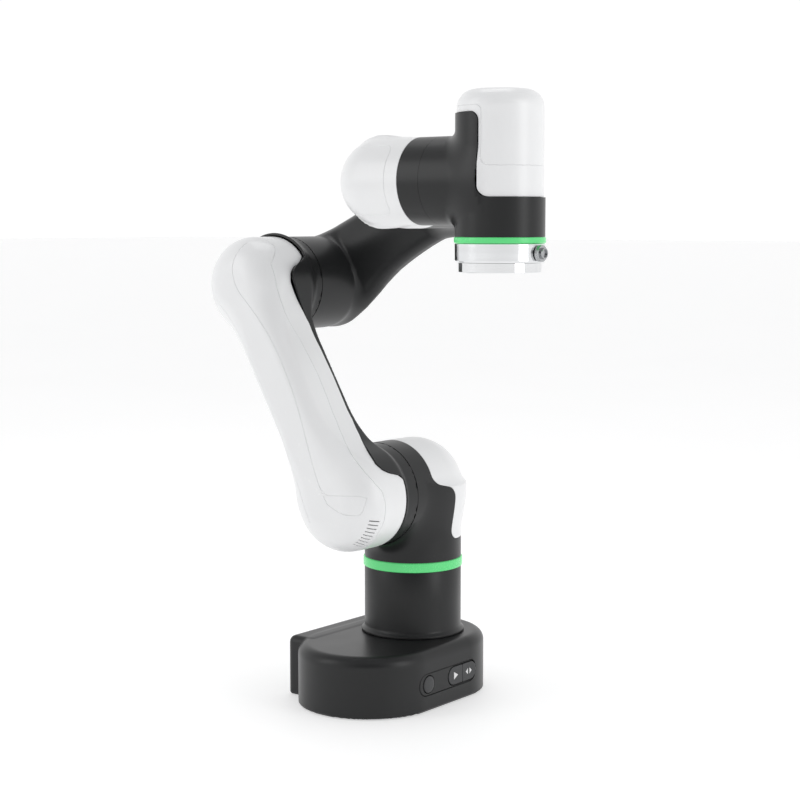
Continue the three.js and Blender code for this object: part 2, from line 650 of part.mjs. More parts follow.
function drum(radius, low, high, rounding, at) {
  const steps = 3;
  const edge = [];
  for (let i = 0; i <= steps; i++) {
    const t = (i / steps) * Math.PI / 2;
    edge.push([radius - rounding * (1 - Math.cos(t)), high - rounding * (1 - Math.sin(t))]);
  }
  return turned([[0, low], [radius, low], ...edge, [0, high]], Y_AXIS, at);
}

function forearmCasting() {
  const outer = join(
    drum(J3_RADIUS, J2_SPLIT_Y, ELBOW_BACK_Y, DRUM_ROUNDING, [0, 0, 0]),
    drum(J4_RADIUS, J4_SPLIT_Y, FORE_BACK_Y, DRUM_ROUNDING, [0, 0, FORE_LENGTH]),
    boneBlock(FORE_BONE, LINK_FRONT_Y, FORE_BACK_Y, FORE_ROUNDING),
  );
  const rooms = [
    rod(J3_RADIUS - SHELL_WALL, J2_SPLIT_Y - 1, ELBOW_CAP_Y, Y_AXIS, [0, 0, 0], 16),
    rod(J4_RADIUS - SHELL_WALL, J4_SPLIT_Y - 1, ELBOW_CAP_Y, Y_AXIS, [0, 0, FORE_LENGTH], 16),
    box(-26, 26, LINK_FRONT_Y + 3.5, ELBOW_CAP_Y, 20, FORE_LENGTH - 20),
  ];
  const backs = [[J3_RADIUS, 0], [J4_RADIUS, FORE_LENGTH]].map(([radius, z]) => (
    rod(radius - CAP_LEDGE, ELBOW_CAP_Y - 1, 40, Y_AXIS, [0, 0, z], 16)));
  return cut(outer, ...rooms, ...backs);
}

// Round cap that closes the back of a joint housing in the forearm.
function jointCap(radius, back, z) {
  const rim = radius - CAP_LEDGE - GAP;
  return turned([[0, back - 3], [rim - 3, back - 3], [rim - 3, ELBOW_CAP_Y + 4], [rim, ELBOW_CAP_Y + 4],
    [rim, back - 0.8], [rim - 0.8, back], [0, back]], Y_AXIS, [0, 0, z], 16);
}

add('forearm_casting', forearmCasting(), 'charcoal', forearm);
add('elbow_rear_cap', jointCap(J3_RADIUS, ELBOW_BACK_Y - 0.5, 0), 'charcoal', forearm);
add('forearm_rear_cap', jointCap(J4_RADIUS, FORE_BACK_Y - 0.5, FORE_LENGTH), 'charcoal', forearm);
jointModule(3, MIDDLE, MINUS_Y, [0, 0, 0], -12, -J2_SPLIT_Y - 6, forearm);
jointModule(4, SMALL, MINUS_Y, [0, 0, FORE_LENGTH], -11, -J4_SPLIT_Y - 6, forearm);

// ---- wrist 1 ----

const j4X = elbowX + FORE_LENGTH * Math.cos(FORE_RISE);
const j4Z = elbowZ + FORE_LENGTH * Math.sin(FORE_RISE);
const wrist1 = linkFrame(j4X, 0, j4Z, 0);

function wrist1Outer(skin = 0) {
  return join(
    capsule(WRIST_RADIUS - skin, -J5_SPLIT, 0, MINUS_X, [0, WRIST_Y, 0]),
    turned([[0, WRIST_Y], [WRIST_RADIUS - skin, WRIST_Y], [J4_RADIUS - skin, STUB_TAPER_Y],
      [J4_RADIUS - skin, J4_SPLIT_Y - GAP], [0, J4_SPLIT_Y - GAP]], Y_AXIS),
  );
}

function wrist1Casting() {
  const [x0, x1, y0, y1, z0, z1] = WRIST1_WHITE;
  const collars = cut(wrist1Outer(), box(x0, x1 + GAP, y0, y1 + GAP, z0, z1));
  const body = join(wrist1Outer(SLEEVE + GAP), collars);
  const room = join(
    capsule(WRIST_RADIUS - SLEEVE - SHELL_WALL, -J5_SPLIT - 1, 0, MINUS_X, [0, WRIST_Y, 0], 16),
    rod(20, WRIST_Y, J4_SPLIT_Y + 1, Y_AXIS, [0, 0, 0], 12),
    rod(SMALL.gearRadius + GAP, J4_SPLIT_Y - 9, J4_SPLIT_Y + 1, Y_AXIS, [0, 0, 0], INNER_FACETS),
  );
  return cut(body, room);
}

function wrist1Cover() {
  return cut(wrist1Outer().intersect(box(...WRIST1_WHITE)), wrist1Outer(SLEEVE));
}

add('wrist_1_casting', wrist1Casting(), 'charcoal', wrist1);
add('wrist_1_cover', wrist1Cover(), 'shell', wrist1);
outputFlange(4, SMALL, MINUS_Y, [0, 0, 0], -J4_SPLIT_Y - 6, -J4_SPLIT_Y + 9 - GAP, wrist1);
jointModule(5, SMALL, X_AXIS, [0, WRIST_Y, 0], -8, J5_SPLIT - 6, wrist1);

// ---- wrist 2 ----

const wrist2 = linkFrame(j4X + J6_OFFSET, WRIST_Y, j4Z, 0);
const STUB_START = J5_SPLIT + GAP - J6_OFFSET;

function roundTopped(radius, low, high, rounding, facets = FACETS) {
  const steps = 3;
  const edge = [];
  for (let i = 0; i <= steps; i++) {
    const t = (i / steps) * Math.PI / 2;
    edge.push([radius - rounding * (1 - Math.cos(t)), high - rounding * (1 - Math.sin(t))]);
  }
  return turned([[0, low], [radius, low], ...edge, [0, high]], Z_AXIS, [0, 0, 0], facets);
}

function wrist2Outer(skin = 0) {
  return join(
    roundTopped(WRIST_RADIUS - skin, WRIST2_RING_HIGH + GAP, WRIST2_TOP - skin, TOP_ROUNDING - skin / 2),
    rod(WRIST_RADIUS - skin, STUB_START, 0, X_AXIS, [0, 0, 0]),
  );
}

// The region of the white cover, in X and Z: the front of the body, and all of its top.
function cover2Region(edge) {
  const shape = new THREE.Shape();
  const corner = 8;
  const left = COVER_EDGE_X + edge;
  shape.moveTo(-50, 90);
  shape.lineTo(-50, COVER_SHOULDER_Z + edge);
  shape.lineTo(left - corner, COVER_SHOULDER_Z + edge);
  shape.quadraticCurveTo(left, COVER_SHOULDER_Z + edge, left, COVER_SHOULDER_Z - corner);
  shape.lineTo(left, COVER_LOW_Z + corner);
  shape.quadraticCurveTo(left, COVER_LOW_Z + edge, left + corner, COVER_LOW_Z + edge);
  shape.lineTo(60, COVER_LOW_Z + edge);
  shape.lineTo(60, 90);
  shape.closePath();
  return slab(shape, -60, 60, 3);
}

function wrist2Casting() {
  const body = join(cut(wrist2Outer(), cover2Region(0)), wrist2Outer(SLEEVE + GAP));
  const room = join(
    roundTopped(WRIST_RADIUS - SLEEVE - SHELL_WALL, WRIST2_RING_HIGH - 1, WRIST2_TOP - 6, 4, 16),
    rod(20, STUB_START - 1, 0, X_AXIS, [0, 0, 0], 12),
    rod(SMALL.gearRadius + GAP, STUB_START - 1, STUB_START + 9, X_AXIS, [0, 0, 0], INNER_FACETS),
  );
  return cut(body, room);
}

function wrist2Cover() {
  const outer = roundTopped(COVER2_RADIUS, WRIST2_RING_HIGH + GAP, WRIST2_TOP, TOP_ROUNDING);
  return cut(outer.intersect(cover2Region(GAP)), wrist2Outer(SLEEVE));
}

const TALL = { ...SMALL, motorLength: 26 };
add('wrist_2_casting', wrist2Casting(), 'charcoal', wrist2);
add('wrist_2_cover', wrist2Cover(), 'shell', wrist2);
add('wrist_light_ring', lightRing(WRIST_RADIUS + 0.6, 4, WRIST2_RING_LOW, WRIST2_RING_HIGH), 'light', wrist2);
outputFlange(5, SMALL, X_AXIS, [0, 0, 0], STUB_START - 6, STUB_START + 9 - GAP, wrist2);
jointModule(6, TALL, MINUS_Z, [0, 0, 0], -30, -WRIST2_RING_LOW - 6, wrist2);

// ---- tool flange ----

const FLANGE_TOP = WRIST2_RING_LOW - GAP;
const CONNECTOR_DIRECTION = new THREE.Vector3(Math.cos(CONNECTOR_TURN), Math.sin(CONNECTOR_TURN), 0);

function flangeBody() {
  const body = turned([[12, FLANGE_STEP], [WRIST_RADIUS, FLANGE_STEP], [WRIST_RADIUS, FLANGE_TOP],
    [12, FLANGE_TOP], [12, FLANGE_STEP]]);
  return cut(
    body,
    rod(SMALL.gearRadius + GAP, FLANGE_TOP - 4, FLANGE_TOP + 1, Z_AXIS, [0, 0, 0], INNER_FACETS),
    rod(CONNECTOR_NECK + GAP, 26, 40, CONNECTOR_DIRECTION, [0, 0, CONNECTOR_Z], 12),
  );
}

function toolPlate() {
  const low = TOOL_FACE;
  const high = FLANGE_STEP - GAP;
  const plate = turned([
    [5, high], [5, low + PILOT_DEPTH], [PILOT_RADIUS, low + PILOT_DEPTH], [PILOT_RADIUS, low],
    [TOOL_RADIUS - 0.5, low], [TOOL_RADIUS, low + 0.5], [TOOL_RADIUS, high], [5, high],
  ]);
  const holes = [];
  for (let i = 0; i < TOOL_BOLTS; i++) {
    const t = Math.PI / 4 + i * 2 * Math.PI / TOOL_BOLTS;
    holes.push(rod(2.5, low - 1, low + 5, Z_AXIS,
      [TOOL_BOLT_CIRCLE * Math.cos(t), TOOL_BOLT_CIRCLE * Math.sin(t), 0], 10));
  }
  holes.push(rod(3, low - 1, low + 5, Z_AXIS, [TOOL_BOLT_CIRCLE, 0, 0], 10));
  return cut(plate, ...holes);
}

// Threaded cable socket with a knurled ring.
function toolConnector() {
  const seat = WRIST_RADIUS + GAP;
  const knurl = WRIST_RADIUS + KNURL_REACH;
  const tip = WRIST_RADIUS + CONNECTOR_REACH;
  const lip = CONNECTOR_NECK + 0.2;
  const mouth = CONNECTOR_NECK - 0.8;
  const profile = [
    [0, 27], [CONNECTOR_NECK, 27], [CONNECTOR_NECK, seat], [CONNECTOR_RADIUS, seat],
    [CONNECTOR_RADIUS, knurl], [lip, knurl], [lip, tip], [mouth, tip], [mouth, tip - 1.2], [0, tip - 1.2],
  ];
  return turned(profile, CONNECTOR_DIRECTION, [0, 0, CONNECTOR_Z], 16);
}

add('tool_flange_body', flangeBody(), 'alloy', wrist2);
add('tool_plate', toolPlate(), 'alloy', wrist2);
add('tool_connector', toolConnector(), 'steel', wrist2);
outputFlange(6, SMALL, MINUS_Z, [0, 0, 0], -WRIST2_RING_LOW - 6, -FLANGE_TOP + 4 - GAP, wrist2);

export default arm;
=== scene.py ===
"""Looks of a desktop six-axis robot arm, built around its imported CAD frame."""
import json
import math

import bmesh
import bpy
import numpy as np
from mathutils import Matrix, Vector


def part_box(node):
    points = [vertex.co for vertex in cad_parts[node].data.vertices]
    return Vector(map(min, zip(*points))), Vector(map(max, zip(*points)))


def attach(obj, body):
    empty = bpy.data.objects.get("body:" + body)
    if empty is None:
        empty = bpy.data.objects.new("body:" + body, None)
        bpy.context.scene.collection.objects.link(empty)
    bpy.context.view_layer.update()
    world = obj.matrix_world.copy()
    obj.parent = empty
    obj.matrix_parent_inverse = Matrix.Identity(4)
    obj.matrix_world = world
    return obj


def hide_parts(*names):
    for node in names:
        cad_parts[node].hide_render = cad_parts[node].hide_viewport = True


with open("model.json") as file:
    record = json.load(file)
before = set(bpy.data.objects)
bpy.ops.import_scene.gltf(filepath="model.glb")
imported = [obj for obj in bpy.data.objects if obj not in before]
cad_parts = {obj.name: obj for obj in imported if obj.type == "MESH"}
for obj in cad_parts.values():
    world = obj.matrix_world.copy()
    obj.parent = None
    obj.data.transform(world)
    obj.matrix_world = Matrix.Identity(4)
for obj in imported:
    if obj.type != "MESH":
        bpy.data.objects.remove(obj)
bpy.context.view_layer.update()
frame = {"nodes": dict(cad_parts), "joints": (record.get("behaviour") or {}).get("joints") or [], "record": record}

# Shapes are worked out in millimetres and turned into metres when a mesh is made.
MM = 0.001

# ---- dimensions taken from the frame ----

JOINTS = {j["name"]: j for j in frame["joints"]}


def joint_at(name):
    """A joint's position in millimetres."""
    return np.array(JOINTS[name]["pos_m"]) / MM


J2 = joint_at("j2_shoulder")
J3 = joint_at("j3_elbow")
J4 = joint_at("j4_wrist_1")
J5 = joint_at("j5_wrist_2")
J6 = joint_at("j6_tool")


def box_mm(node):
    low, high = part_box(node)
    return np.array(low) / MM, np.array(high) / MM


COLUMN_RADIUS = 41.6
J2_RADIUS = 42.4
J3_RADIUS = 40.2
J4_RADIUS = 36.5
WRIST_RADIUS = 33.9
UPPER_LENGTH = float(np.hypot(J3[0] - J2[0], J3[2] - J2[2]))
FORE_LENGTH = float(np.hypot(J4[0] - J3[0], J4[2] - J3[2]))
RING_LOW, RING_HIGH = (float(b[2]) for b in box_mm("base_light_ring"))
WRIST_Y = float(J5[1])
WRIST_Z = float(J5[2])
FLOOR_GLOW = 0.45
SEAM = 0.4  # gap between two shells of one link
GAP = 0.2  # gap between two links, where one turns on the other

# ---- distance fields ----
# A field takes points as an (n, 3) array and returns distances, negative inside.


def round_union(a, b, r):
    """Union of two fields with a concave fillet of radius r."""
    corner = np.hypot(np.maximum(r - a, 0), np.maximum(r - b, 0))
    return np.maximum(r, np.minimum(a, b)) - corner


def round_cut(a, b, r):
    """Intersection of two fields whose shared edge is rounded by radius r."""
    corner = np.hypot(np.maximum(r + a, 0), np.maximum(r + b, 0))
    return np.minimum(-r, np.maximum(a, b)) + corner


def smooth_step(x, low, high):
    t = np.clip((x - low) / (high - low), 0, 1)
    return t * t * (3 - 2 * t)


def gradient(field, points, h=0.05):
    columns = []
    for k in range(3):
        step = np.zeros(3)
        step[k] = h
        columns.append(field(points + step) - field(points - step))
    g = np.stack(columns, 1)
    return g / np.maximum(np.linalg.norm(g, axis=1), 1e-9)[:, None]


def settle(field, points, rounds=4):
    """Moves points onto the surface of a field."""
    for _ in range(rounds):
        h = 0.05
        g = np.stack([field(points + h * e) - field(points - h * e) for e in np.eye(3)], 1) / (2 * h)
        length = np.maximum((g * g).sum(1), 0.05)
        move = np.clip(field(points) / length, -2, 2)
        points = points - g * move[:, None]
    return points


def surface_net(field, low, high, step):
    """Triangles of a field's zero surface, one vertex to each grid cell that the surface crosses."""
    low, high = np.asarray(low, float), np.asarray(high, float)
    counts = np.ceil((high - low) / step).astype(int) + 1
    axes = [low[k] + step * np.arange(counts[k]) for k in range(3)]
    grid = np.stack(np.meshgrid(*axes, indexing="ij"), -1)
    values = field(grid.reshape(-1, 3)).reshape(counts)
    cells = tuple(counts - 1)
    total = np.zeros(cells + (3,))
    crossings = np.zeros(cells)
    quads = []
    for axis in range(3):
        a = [slice(None)] * 3
        b = [slice(None)] * 3
        a[axis], b[axis] = slice(0, -1), slice(1, None)
        va, vb = values[tuple(a)], values[tuple(b)]
        i = np.argwhere((va < 0) != (vb < 0))
        fa, fb = va[tuple(i.T)], vb[tuple(i.T)]
        at = low + step * i
        at[:, axis] += step * fa / (fa - fb)
        others = [k for k in range(3) if k != axis]
        keep = np.all((i[:, others] > 0) & (i[:, others] < counts[others] - 1), 1)
        i, at, inward = i[keep], at[keep], fa[keep] > fb[keep]
        around = []
        for du, dv in ((0, 0), (-1, 0), (-1, -1), (0, -1)):
            c = i.copy()
            c[:, others[0]] += du
            c[:, others[1]] += dv
            around.append(c)
            np.add.at(total, tuple(c.T), at)
            np.add.at(crossings, tuple(c.T), 1)
        q = np.stack([np.ravel_multi_index(c.T, cells) for c in around], 1)
        flip = inward if axis != 1 else ~inward
        q[flip] = q[flip][:, ::-1]
        quads.append(q)
    used = crossings.reshape(-1) > 0
    number = np.cumsum(used) - 1
    points = total.reshape(-1, 3)[used] / crossings.reshape(-1)[used][:, None]
    quads = number[np.concatenate(quads)]
    points = settle(field, points)
    return points, np.concatenate([quads[:, [0, 1, 2]], quads[:, [0, 2, 3]]])


def cut_along(points, triangles, values):
    """Splits triangles where the values at their corners change sign."""
    values = np.where(np.abs(values) < 1e-3, 1e-3, values)
    side = values > 0
    corner = side[triangles]
    mixed = corner.any(1) & ~corner.all(1)
    whole, split = triangles[~mixed], triangles[mixed]
    if not len(split):
        return points, triangles
    c = corner[mixed]
    lone = np.where(c.sum(1) == 1, c.argmax(1), (~c).argmax(1))
    rows = np.arange(len(split))
    a = split[rows, lone]
    b = split[rows, (lone + 1) % 3]
    d = split[rows, (lone + 2) % 3]
    edges = np.sort(np.concatenate([np.stack([a, b], 1), np.stack([a, d], 1)]), 1)
    unique, index = np.unique(edges, axis=0, return_inverse=True)
    index = index.reshape(-1)
    v0, v1 = values[unique[:, 0]], values[unique[:, 1]]
    t = (v0 / (v0 - v1))[:, None]
    fresh = points[unique[:, 0]] * (1 - t) + points[unique[:, 1]] * t
    p = len(points) + index[: len(split)]
    q = len(points) + index[len(split):]
    pieces = [np.stack([a, p, q], 1), np.stack([p, b, d], 1), np.stack([p, d, q], 1)]
    return np.concatenate([points, fresh]), np.concatenate([whole] + pieces)


def compact(points, triangles):
    used, index = np.unique(triangles, return_inverse=True)
    return points[used], index.reshape(-1, 3)


def open_edges(triangles):
    """Edges with a triangle on one side only, in that triangle's direction."""
    edges = np.concatenate([triangles[:, [0, 1]], triangles[:, [1, 2]], triangles[:, [2, 0]]])
    keys = edges[:, 0] * (triangles.max() + 1) + edges[:, 1]
    back = edges[:, 1] * (triangles.max() + 1) + edges[:, 0]
    return edges[~np.isin(keys, back)]


# ---- meshes ----


def make_object(name, points, faces, loop_normals=None, smooth=True):
    mesh = bpy.data.meshes.new(name)
    mesh.from_pydata((np.asarray(points) * MM).tolist(), [], faces)
    mesh.validate()
    if smooth:
        mesh.shade_smooth()
    if loop_normals is not None:
        mesh.normals_split_custom_set(loop_normals)
    obj = bpy.data.objects.new(name, mesh)
    bpy.context.scene.collection.objects.link(obj)
    return obj


def shell(name, field, surface, keep, lines=(), depth=2.0, guides=(), holes=()):
    """A skin cut out of a field's surface, with rims that turn inwards along its edges.

    keep is a list of functions that are positive where the skin stays. lines is a list of
    (function, half width, depth): a groove runs where the function is zero. guides are smooth
    functions whose zeros become edges of the mesh, and holes are negative where faces are left out."""
    points, triangles = surface
    for guide in guides:
        points, triangles = cut_along(points, triangles, guide(points))
    for hole in holes:
        triangles = triangles[hole(points[triangles].mean(1)) > 0]
    for test in keep:
        points, triangles = cut_along(points, triangles, test(points))
        middle = points[triangles].mean(1)
        triangles = triangles[test(middle) > 0]
        points, triangles = compact(points, triangles)
    for line, half, _ in lines:
        for level in (-half, 0.0, half):
            points, triangles = cut_along(points, triangles, line(points) - level)
    points, triangles = compact(points, triangles)
    normals = gradient(field, points)
    flat = np.zeros(len(triangles), bool)
    sunk = points.copy()
    for line, half, sink in lines:
        v = line(points)
        sunk[np.abs(v) < half * 0.5] -= sink * normals[np.abs(v) < half * 0.5]
        flat |= np.abs(line(points[triangles].mean(1))) < half
    rim = open_edges(triangles)
    edge = np.unique(rim)
    place = np.full(len(points), -1)
    place[edge] = len(points) + np.arange(len(edge))
    inner = sunk[edge] - depth * normals[edge]
    rim_faces = np.stack([rim[:, 1], rim[:, 0], place[rim[:, 0]], place[rim[:, 1]]], 1)
    everything = np.concatenate([sunk, inner])
    faces = triangles.tolist() + rim_faces.tolist()
    tri_normals = np.cross(
        sunk[triangles[:, 1]] - sunk[triangles[:, 0]], sunk[triangles[:, 2]] - sunk[triangles[:, 0]]
    )
    tri_normals /= np.maximum(np.linalg.norm(tri_normals, axis=1), 1e-12)[:, None]
    loops = normals[triangles]
    loops[flat] = tri_normals[flat][:, None, :]
    rim_normals = np.cross(
        everything[rim_faces[:, 1]] - everything[rim_faces[:, 0]],
        everything[rim_faces[:, 3]] - everything[rim_faces[:, 0]],
    )
    rim_normals /= np.maximum(np.linalg.norm(rim_normals, axis=1), 1e-12)[:, None]
    loop_normals = np.concatenate([loops.reshape(-1, 3), np.repeat(rim_normals, 4, 0)])
    return make_object(name, everything, faces, loop_normals.tolist())


def turned(name, profile, at, axis="z", sides=160):
    """A piece of revolution. profile is [(radius, height), ...] from one end to the other, in millimetres."""
    profile = np.array(profile, float)
    angles = np.arange(sides) * 2 * math.pi / sides
    points = []
    for radius, height in profile:
        points.append(np.stack([radius * np.cos(angles), radius * np.sin(angles), np.full(sides, height)], 1))
    points = np.concatenate(points)
    if axis == "x":
        points = points[:, [2, 0, 1]]
    points = points + np.asarray(at, float)
    rings = len(profile)
    faces = []
    for k in range(rings - 1):
        for i in range(sides):
            j = (i + 1) % sides
            faces.append((k * sides + i, k * sides + j, (k + 1) * sides + j, (k + 1) * sides + i))
    obj = make_object(name, points, faces, smooth=False)
    mesh = obj.data
    work = bmesh.new()
    work.from_mesh(mesh)
    bmesh.ops.remove_doubles(work, verts=work.verts, dist=1e-6)
    bmesh.ops.recalc_face_normals(work, faces=work.faces)
    work.to_mesh(mesh)
    work.free()
    mesh.shade_smooth()
    mesh.set_sharp_from_angle(angle=math.radians(32))
    return obj


def arc(centre, radius, start, end, steps=6):
    """Profile points round a corner; angles in degrees."""
    return [
        (
            centre[0] + radius * math.cos(math.radians(start + (end - start) * i / steps)),
            centre[1] + radius * math.sin(math.radians(start + (end - start) * i / steps)),
        )
        for i in range(steps + 1)
    ]


# ---- fields of the arm's castings ----

DIRECTIONS = {
    "upper": ((J3 - J2) * [1, 0, 1], J2 * [1, 0, 1]),
    "fore": ((J4 - J3) * [1, 0, 1], J3 * [1, 0, 1]),
}


def along(link, p):
    """Points in a link's own coordinates: along it, across it, and robot Y."""
    direction, origin = DIRECTIONS[link]
    direction = direction / np.linalg.norm(direction)
    across = np.array([direction[2], 0, -direction[0]])
    q = p - origin
    return q @ direction, q @ across, p[:, 1]


def waisted_end(s, c, radius, waist, side):
    """Half of a dog-bone outline: a round end of this radius, then a concave arc into the waist."""
    arc_radius = (radius * math.cos(side) - waist) / (1 - math.cos(side))
    arc_s = (radius + arc_radius) * math.sin(side)
    on_end = c * math.sin(side) > s * math.cos(side)
    on_arc = arc_radius - np.hypot(s - arc_s, c - waist - arc_radius)
    return np.where(on_end | (s < 0), np.hypot(s, c) - radius, np.where(s < arc_s, on_arc, c - waist))


UPPER_FRONT = -117.0
UPPER_LOW, UPPER_HIGH, UPPER_WAIST = 43.6, 40.3, 23.0
COVER_BACK = -64.6
WEB_BACK = -66.3


def upper_block(p, back):
    """The dog-bone body of the upper arm, its front edge rounded more at the ends than at the waist."""
    s, c, y = along("upper", p)
    c = np.abs(c)
    outline = np.where(
        s < 100,
        waisted_end(s, c, UPPER_LOW, UPPER_WAIST, 0.55),
        waisted_end(UPPER_LENGTH - s, c, UPPER_HIGH, UPPER_WAIST, 0.5),
    )
    rounding = 13 + 14 * smooth_step(-s, -60, 0) + 15 * smooth_step(s, 130, 195)
    block = round_cut(outline, UPPER_FRONT - y, rounding)
    return round_cut(block, y - back, 2.0)


def upper_cover_field(p):
    return upper_block(p, COVER_BACK)


def upper_casting_field(p):
    s, c, y = along("upper", p)
    block = upper_block(p, WEB_BACK)
    low = np.maximum(np.hypot(s, c) - J2_RADIUS, np.abs(y + 70) - 21.95)
    high = np.maximum(np.hypot(s - UPPER_LENGTH, c) - J3_RADIUS, np.abs(y + 70) - 21.95)
    return round_union(round_union(block, low, 6), high, 13)


# REAR_EDGE, PARTING, PANEL_SEAM, WINDOW, FAR_SEAM and FORE_LOW are lists of places that scratch programs
# worked out from the photo. They should be formulas.
# Robot Y of the white cover's rear edge and of the parting line on its flanks, at places along the arm.
REAR_EDGE = [(-60, -64.5), (-12, -64.5), (-6, -65.1), (-1.2, -70), (1.8, -80), (5.4, -86.4),
             (11.8, -90), (20, -87.5),
             (30, -81.7), (44, -75), (59, -71), (100, -70), (125, -70.9), (149, -73.2), (160, -77.5),
             (171, -83.4),
             (176, -86), (183, -89.5), (190, -87.8), (195, -81.8), (198, -73.8), (204, -66),
             (208, -64.6), (260, -64.5)]
PARTING = [(-60, -96), (-42, -94.5), (-33, -92.5), (-22, -93.1), (-16, -94.4), (-11.5, -95.5),
           (-8.2, -97.6),
           (-4.2, -99.9), (1.7, -101.9), (7.3, -103.5), (13.5, -104.3), (20.3, -104.1),
           (28.6, -102.4), (37, -99.3),
           (46, -95.2), (60, -91), (80, -89), (104, -88), (136, -91), (159, -100), (181, -103.5),
           (200, -104),
           (210, -95), (216, -91), (260, -90)]


def edge_along(table, s, y, width):
    """Distance ahead of an edge given as (along, robot Y) points, smoothed over this width."""
    table = np.array(table, float)
    grid = np.arange(-60, 260.5, 0.5)
    kernel = np.hanning(2 * int(width) + 3)
    rough = np.pad(np.interp(grid, table[:, 0], table[:, 1]), int(width) + 1, mode="edge")
    smooth = np.convolve(rough, kernel / kernel.sum(), mode="valid")
    slope = np.interp(s, grid, np.gradient(smooth, grid))
    return (np.interp(s, grid, smooth) - y) / np.hypot(1, slope)


def upper_cover_edge(p):
    """Positive on the white cover's side of its rear edge."""
    s, _, y = along("upper", p)
    return edge_along(REAR_EDGE, s, y, 3)


def parting_line(p):
    s, _, y = along("upper", p)
    return edge_along(PARTING, s, y, 3)


def strokes(u, v, lines):
    """Distance from open lines in a plane, with a different sign on their two sides."""
    best = np.full(len(u), 1e3)
    for line in lines:
        for (u0, v0), (u1, v1) in zip(line, line[1:]):
            du, dv = u1 - u0, v1 - v0
            t = np.clip(((u - u0) * du + (v - v0) * dv) / (du * du + dv * dv), 0, 1)
            across = (u - u0) * dv - (v - v0) * du
            d = np.hypot(u - u0 - t * du, v - v0 - t * dv) * np.where(across < 0, -1, 1)
            best = np.where(np.abs(d) < np.abs(best), d, best)
    return best


def softened(line, rounds=2):
    """A line with its corners cut off, twice by default."""
    for _ in range(rounds):
        line = [line[0]] + [
            (a[0] * w + b[0] * (1 - w), a[1] * w + b[1] * (1 - w))
            for a, b in zip(line, line[1:]) for w in (0.75, 0.25)
        ] + [line[-1]]
    return line


# The panel on the front of the upper arm, in millimetres along and across it.
PANEL_SEAM = softened([(228, 22), (222, 14), (210, 5), (195, 2.5), (178, 7.9), (155, 13), (131, 15.5),
                       (105, 15),
                       (79, 12.9), (50, 7), (29, 2.7), (10, 0.8), (-2, 1.5)])
WINDOW = softened([(14, 1.4), (5.6, 3.5), (2.5, 9), (-4.1, 22.8), (-11.6, 35.5), (-17, 31), (-22.4, 25.2),
                   (-21, 20), (-15, 11), (-2, 1.5)], 1)
FAR_SEAM = softened([(222, -27), (207, -25.7), (180, -19), (153, -14), (110, -13.5), (70, -16),
                     (30, -20), (9.6, -22.4),
                     (-7.2, -24.1)])


def panel_seams(p):
    s, c, y = along("upper", p)
    return np.where(y < -98, strokes(s, c, [PANEL_SEAM, WINDOW, FAR_SEAM]), 50.0)


VENT_ANGLES = np.radians(np.linspace(1.5, 41.4, 9))
VENT_HALF = 0.55
VENT_BACK, VENT_FRONT = -97.2, -105.6


def from_spoke(p, angle):
    """Distance from a plane through the J2 axis at this angle from the arm's lower end."""
    s, c, _ = along("upper", p)
    return c * math.cos(angle) + s * math.sin(angle)


def vent_slots(p):
    """Negative in the row of slots at the lower end of the cover."""
    across = np.min([np.abs(from_spoke(p, angle)) for angle in VENT_ANGLES], 0) - VENT_HALF
    reach = np.abs(p[:, 1] - (VENT_BACK + VENT_FRONT) / 2) - (VENT_BACK - VENT_FRONT) / 2
    return np.maximum(np.maximum(across, reach), along("upper", p)[0] + 20)


VENT_GUIDES = [lambda p, y=y: p[:, 1] - y for y in (VENT_BACK, VENT_FRONT)] + [
    lambda p, a=angle, h=half: from_spoke(p, a) - h
    for angle in VENT_ANGLES for half in (-VENT_HALF, VENT_HALF)
]


def wrist1_panel(p):
    x, y, z = p[:, 0] - J4[0], p[:, 1] - WRIST_Y, p[:, 2] - WRIST_Z
    q = np.abs(np.stack([x + 10.5, z - 0.6], 1)) - (37.0 - 6, 26.4 - 6)
    outline = np.hypot(np.maximum(q[:, 0], 0), np.maximum(q[:, 1], 0)) + np.minimum(q.max(1), 0) - 6
    return np.where(y < -6, outline, 50.0)


def wrist2_panel(p):
    x, z = p[:, 0] - J6[0], p[:, 2] - WRIST_Z
    return -round_union(round_cut(4.9 - x, 10.3 - z, 6), 54.3 - z, 5)


def shoulder_field(p):
    upright = np.maximum(np.hypot(p[:, 0], p[:, 1]) - COLUMN_RADIUS, p[:, 2] - J2[2])
    r = np.hypot(p[:, 0], p[:, 2] - J2[2])
    barrel = np.where(p[:, 1] > 0, np.hypot(r, p[:, 1]), r) - J2_RADIUS
    return round_union(upright, barrel, 14)


def shoulder_cap_edge(p):
    """Positive on the white cap's side of its edge."""
    y, z = p[:, 1], p[:, 2]
    over = round_cut(-26.2 - y, 181.8 - z - 0.22 * (y + 14), 8)
    tongue = round_cut(-0.7 - y, 133.6 - z, 9)
    return -round_union(over, tongue, 9)


FORE_BACK = 22.0
ELBOW_ROUNDING = 28.0
# Half width of the forearm's link below its centre line, at places along it.
FORE_LOW = [(0, 39.5), (20, 38.0), (30, 36.0), (40, 33.8), (50, 31.2), (60, 29.2), (70, 27.6),
            (80, 26.9), (90, 26.6),
            (100, 26.6), (110, 26.8), (120, 27.5), (130, 28.8), (140, 30.7), (150, 32.7), (168, 36.3)]


